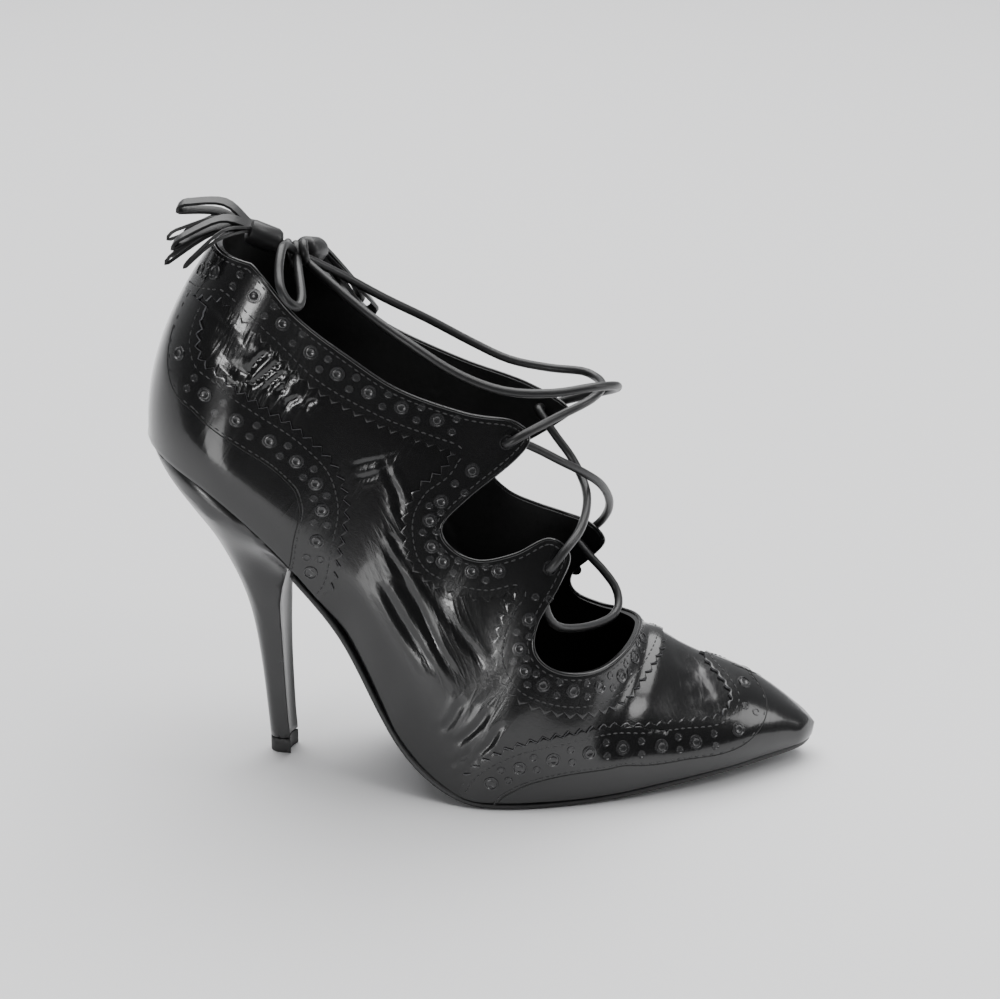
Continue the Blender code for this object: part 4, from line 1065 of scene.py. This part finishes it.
def thinTubes(name, lines, radius, finish):
    # fine rounded lines such as seams and piping, all one mesh
    source = linked(name + "-source", tubes(name, lines, radius, 1))
    mesh = bpy.data.meshes.new_from_object(source.evaluated_get(bpy.context.evaluated_depsgraph_get()))
    bpy.data.objects.remove(source)
    mesh.materials.clear()
    mesh.materials.append(finish)
    mesh.name = name
    mesh.shade_smooth()
    onShoe(linked(name, mesh), "glossy_leather")


seams = []
for halves, inset, start, end in ((counterHalves, 0.0135, 0.0, 0.93), (wingHalves, 0.0125, 0.03, 0.93)):
    for ribs, guide, turn in halves.values():
        seams.append([here + normal * (top - seam["sunk"])
                      for here, tangent, normal in rowAt(guide, turn, inset, seam["pitch"], start, end)])
for side, (ribs, guide, turn) in bandHalves.items():
    rib = ribs[round(len(ribs) * seam["at"])][:-1]
    frames = [surfaceFrame(*key, side) for key in rib]
    seams.append([place + out * (top - seam["sunk"]) for place, out in frames])
edges = [[place + out * (top * piping["lift"]) for place, (_, out) in zip(guide.places, guide.frames)]
         for guide in guideOf.values()]
thinTubes("seam-lines", seams, seam["radius"], seamFinish)
thinTubes("folded-edge", edges, piping["radius"], overlayLeather)
print("shoe: rings", len(bigOnes), "small", len(smallOnes), "stitches", len(stitches))

solidLook = {"merge": 0.00001, "flat": 25, "square": 60, "sharp": 38, "crease": 0.9, "levels": 2}


def refined(node, name, finish, slot):
    # the solid's mesh, merged, its triangles joined, then rounded between its sharp edges
    bm = bmesh.new()
    bm.from_mesh(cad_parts[node].data)
    bmesh.ops.remove_doubles(bm, verts=bm.verts, dist=solidLook["merge"])
    bmesh.ops.join_triangles(bm, faces=bm.faces, angle_face_threshold=math.radians(solidLook["flat"]),
                             angle_shape_threshold=math.radians(solidLook["square"]))
    weight = bm.edges.layers.float.get("crease_edge") or bm.edges.layers.float.new("crease_edge")
    for edge in bm.edges:
        if len(edge.link_faces) == 2 and edge.calc_face_angle(0) > math.radians(solidLook["sharp"]):
            edge[weight] = solidLook["crease"]
    piece = newPiece(name, bm, finish)
    smooth = piece.modifiers.new("smooth", "SUBSURF")
    smooth.levels = solidLook["levels"]
    smooth.render_levels = solidLook["levels"]
    onShoe(piece, slot, node)


for node, name, finish, slot in (
        ("heel", "covered-heel", heelCover, "covered_heel"),
        ("heel_tip", "top-piece", soleRubber, "sole_rubber"),
        ("outsole", "sole", soleRubber, "sole_rubber"),
        ("insole", "footbed", liningLeather, "lining_leather")):
    refined(node, name, finish, slot)
print("shoe: sole and heel")

knotLook = {
    "turns": 2.6, "steps": 45, "radius": 0.0030, "long": 0.0062, "swell": 0.12, "waves": 9, "lace": 0.95,
    "ends": ((-0.001, 0, -0.001), (0.001, 0.001, 0)),
}


def makeKnot():
    middle = placed(*knotAt)
    points = []
    for k in range(knotLook["steps"] + 1):
        t = k / knotLook["steps"]
        angle = math.tau * knotLook["turns"] * t
        wide = knotLook["radius"] * (1 + knotLook["swell"] * math.sin(t * knotLook["waves"]))
        away = (knotLook["long"] * (t - 0.5), math.cos(angle) * wide, math.sin(angle) * wide)
        points.append(middle + Vector(away))
    first, last = (middle + Vector(end) for end in knotLook["ends"])
    piece, path = laceCurve("lace-knot", [first] + points + [last], shoe["lace"] * knotLook["lace"])
    onShoe(piece, "lace_leather", "lace_knot")


makeKnot()

tassels = {
    "tassel_back": {
        "head": ((0.203, -0.024, 0.997), (0.157, -0.050, 1.023)), "across": (0, 1, 0),
        "strips": (
            ((0.120, -0.170, 1.022), (0.078, -0.262, 0.984)),
            ((0.116, -0.125, 1.036), (0.062, -0.205, 1.012)),
            ((0.112, -0.070, 1.024), (0.048, -0.125, 0.978)),
            ((0.118, -0.030, 1.056), (0.064, -0.060, 1.060)),
            ((0.110, 0.005, 1.030), (0.046, 0.000, 1.006)),
            ((0.110, 0.040, 1.020), (0.050, 0.062, 0.972)),
            ((0.116, 0.080, 1.030), (0.062, 0.140, 1.000)))},
    "tassel_side": {
        "head": ((0.233, 0.058, 0.976), (0.251, 0.171, 0.962)), "across": (0.73, 0, -0.68),
        "strips": (
            ((0.241, 0.324, 0.927), (0.236, 0.421, 0.896)),
            ((0.256, 0.329, 0.910), (0.256, 0.439, 0.873)),
            ((0.272, 0.334, 0.891), (0.277, 0.445, 0.852)),
            ((0.288, 0.337, 0.874), (0.298, 0.439, 0.835)),
            ((0.304, 0.337, 0.858), (0.321, 0.421, 0.823)))},
}
tasselLook = {   # the sizes, then how the strips differ: fanned at the head, turned and lifted in turn
    "head": 0.0039, "strip": 0.0044, "thick": 0.0010, "gap": 0.0017, "edge": 0.00015,
    "fan": 0.12, "turned": 0.30, "lift": 0.0006, "stagger": 0.0007, "tilt": 0.12,
    "folds": (0.85, 0.15), "widths": (0.80, 0.06), "rootLifts": (0.0004, 0.0006), "inHead": 0.003,
    "wrap": 0.10, "sides": 28, "lead": (0.001, 0.004, 0.002),
    "headProfile": ((0.0, 0.0), (0.55, 0.0), (0.86, 0.06), (1.0, 0.16), (1.0, 0.84), (0.94, 0.95),
                    (0.70, 1.0), (0.0, 1.0)),
}


def makeStrip(bm, places, across, wide, thick):
    # a leather strip lofted through square rings
    rings = []
    for k, place in enumerate(places):
        run = places[min(k + 1, len(places) - 1)] - places[max(k - 1, 0)]
        side = across.normalized() * wide / 2
        up = run.cross(side).normalized() * thick / 2
        rings.append([bm.verts.new(place + p) for p in (side + up, up - side, -side - up, side - up)])
    bridged(bm, rings)


def foldedPath(end, way, bend, tip, up, squeeze):
    # out from the head over the bend, round the fold at the tip and back under
    gap, (low, high) = tasselLook["gap"], tasselLook["rootLifts"]
    layers = []
    for rise in (up, -up):
        bends = (end - way * tasselLook["inHead"] + rise * low, end + rise * high, bend + rise * gap,
                 tip + rise * gap * squeeze)
        layers.append([Vector(p) for p in smoothLine([tuple(p) for p in bends], 5)])
    over, under = layers
    out = (over[-1] - over[-2]).normalized()
    fold = [tip + up * gap * squeeze * math.cos(a) + out * gap * squeeze * math.sin(a)
            for a in (math.pi / 4, math.pi / 2, 3 * math.pi / 4)]
    return over + fold + under[::-1]


def makeTassel(node, plan):
    start, end = (placed(*point) for point in plan["head"])
    name = node.replace("_", "-")
    way = (end - start).normalized()
    across = Vector(plan["across"])
    bm = bmesh.new()
    up = way.cross(across).normalized()
    up = -up if up.z < 0 else up
    for k, (bend, tip) in enumerate(plan["strips"]):
        bend, tip = placed(*bend), placed(*tip)
        middle = k - (len(plan["strips"]) - 1) / 2
        spread = across.normalized() * tasselLook["strip"] * tasselLook["fan"] * middle
        turned = across.lerp(up, tasselLook["turned"] * (k % 2 * 2 - 1))
        lift = up * (tasselLook["lift"] + tasselLook["stagger"] * (k % 2))
        rise = up.lerp(-way, tasselLook["tilt"]).normalized()
        squeeze, share = (least + step * (k % 3)
                          for least, step in (tasselLook["folds"], tasselLook["widths"]))
        places = foldedPath(end + spread + lift, way, bend + lift, tip + lift, rise, squeeze)
        makeStrip(bm, places, turned, tasselLook["strip"] * share, tasselLook["thick"])
    bmesh.ops.recalc_face_normals(bm, faces=bm.faces)
    strips = newPiece(name + "-strips", bm, laceLeather)
    edge = strips.modifiers.new("edge", "BEVEL")
    edge.width = tasselLook["edge"]
    edge.segments = 1
    edge.limit_method = "ANGLE"
    edge.angle_limit = math.radians(50)
    onShoe(strips, "lace_leather")
    # the wrapped head: a rolled leather band with its end showing as a step
    bm = spun(tasselLook["headProfile"], tasselLook["head"], (end - start).length, tasselLook["sides"])
    for v in bm.verts:
        angle = math.atan2(v.co.y, v.co.x) % math.tau
        grow = 1 + tasselLook["wrap"] * angle / math.tau
        v.co.x *= grow
        v.co.y *= grow
    turn = Vector((0, 0, 1)).rotation_difference(way).to_matrix().to_4x4()
    turn.translation = start
    bmesh.ops.transform(bm, matrix=turn, verts=bm.verts)
    onShoe(newPiece(name + "-head", bm, laceLeather), "lace_leather", node)
    # the short lace between knot and head
    near, far, inside = tasselLook["lead"]
    lead = [nearKnot(start, near), nearKnot(start, far), start + way * inside]
    onShoe(laceCurve(name + "-lead", lead, shoe["lace"])[0], "lace_leather")


for node, plan in tassels.items():
    makeTassel(node, plan)
print("shoe: knot and tassels")

# Past the table's edge the gloss sees the dark room
floorPlan = {"shade": 0.86, "blue": 1.01, "rough": 0.55, "half": 4.0, "tableEdge": -0.26}


def makeFloor():
    finish = Finish("floor", Roughness=floorPlan["rough"])
    shade = floorPlan["shade"]
    finish.shader.inputs["Base Color"].default_value = (shade, shade, shade * floorPlan["blue"], 1)
    for name, low, high in (("floor", floorPlan["tableEdge"], floorPlan["half"]),
                            ("floor-front", -floorPlan["half"], floorPlan["tableEdge"])):
        bm = bmesh.new()
        bmesh.ops.create_grid(bm, x_segments=1, y_segments=1, size=floorPlan["half"])
        for v in bm.verts:
            v.co.y = high if v.co.y > 0 else low
        floor = newPiece(name, bm, finish.material, False)
        floor.visible_glossy = name == "floor"


lights = (   # name, place, width, height, power, aimed at, and whether it shows in more than the gloss
    ("ceiling", (0.10, 1.00, 2.30), 3.0, 3.0, 130, (0.10, 0.80, 0.0), True),
    ("front lamp", (0.62, -0.48, 0.98), 0.30, 0.30, 2.0, (0.10, 0, 0.04), True),
    ("window", (-0.42, -1.00, 0.19), 0.26, 0.16, 2.7, (0.03, 0, 0.08), True),
    ("right side", (0.95, -0.10, 0.45), 0.40, 0.40, 2, (0.10, 0, 0.04), True),
    ("low card", (-0.150, -0.30, 0.010), 0.12, 0.10, 0.18, (-0.02, -0.03, 0.09), False),
)
# How bright the room is behind the camera and behind the shoe
room = {"front": 0.10, "back": 0.62, "tint": (0.97, 0.98, 1.0, 1)}


def makeLights():
    for name, place, width, height, power, aim, diffuse in lights:
        light = bpy.data.lights.new(name, "AREA")
        light.shape = "RECTANGLE"
        light.size = width
        light.size_y = height
        light.energy = power
        holder = linked(name, light)
        holder.location = place
        holder.visible_camera = False
        holder.visible_diffuse = diffuse
        holder.rotation_euler = (Vector(aim) - Vector(place)).to_track_quat("-Z", "Y").to_euler()
    world = bpy.data.worlds.new("studio")
    world.use_nodes = True
    tree = world.node_tree
    place = tree.nodes.new("ShaderNodeTexCoord")
    split = tree.nodes.new("ShaderNodeSeparateXYZ")
    tree.links.new(place.outputs["Generated"], split.inputs[0])
    bright = (Value(split.outputs[1]) * 0.5 + 0.5) ** 2 * (room["back"] - room["front"]) + room["front"]
    background = tree.nodes["Background"]
    background.inputs["Color"].default_value = room["tint"]
    tree.links.new(bright.socket, background.inputs["Strength"])
    bpy.context.scene.world = world


makeFloor()
makeLights()
print("shoe: done")
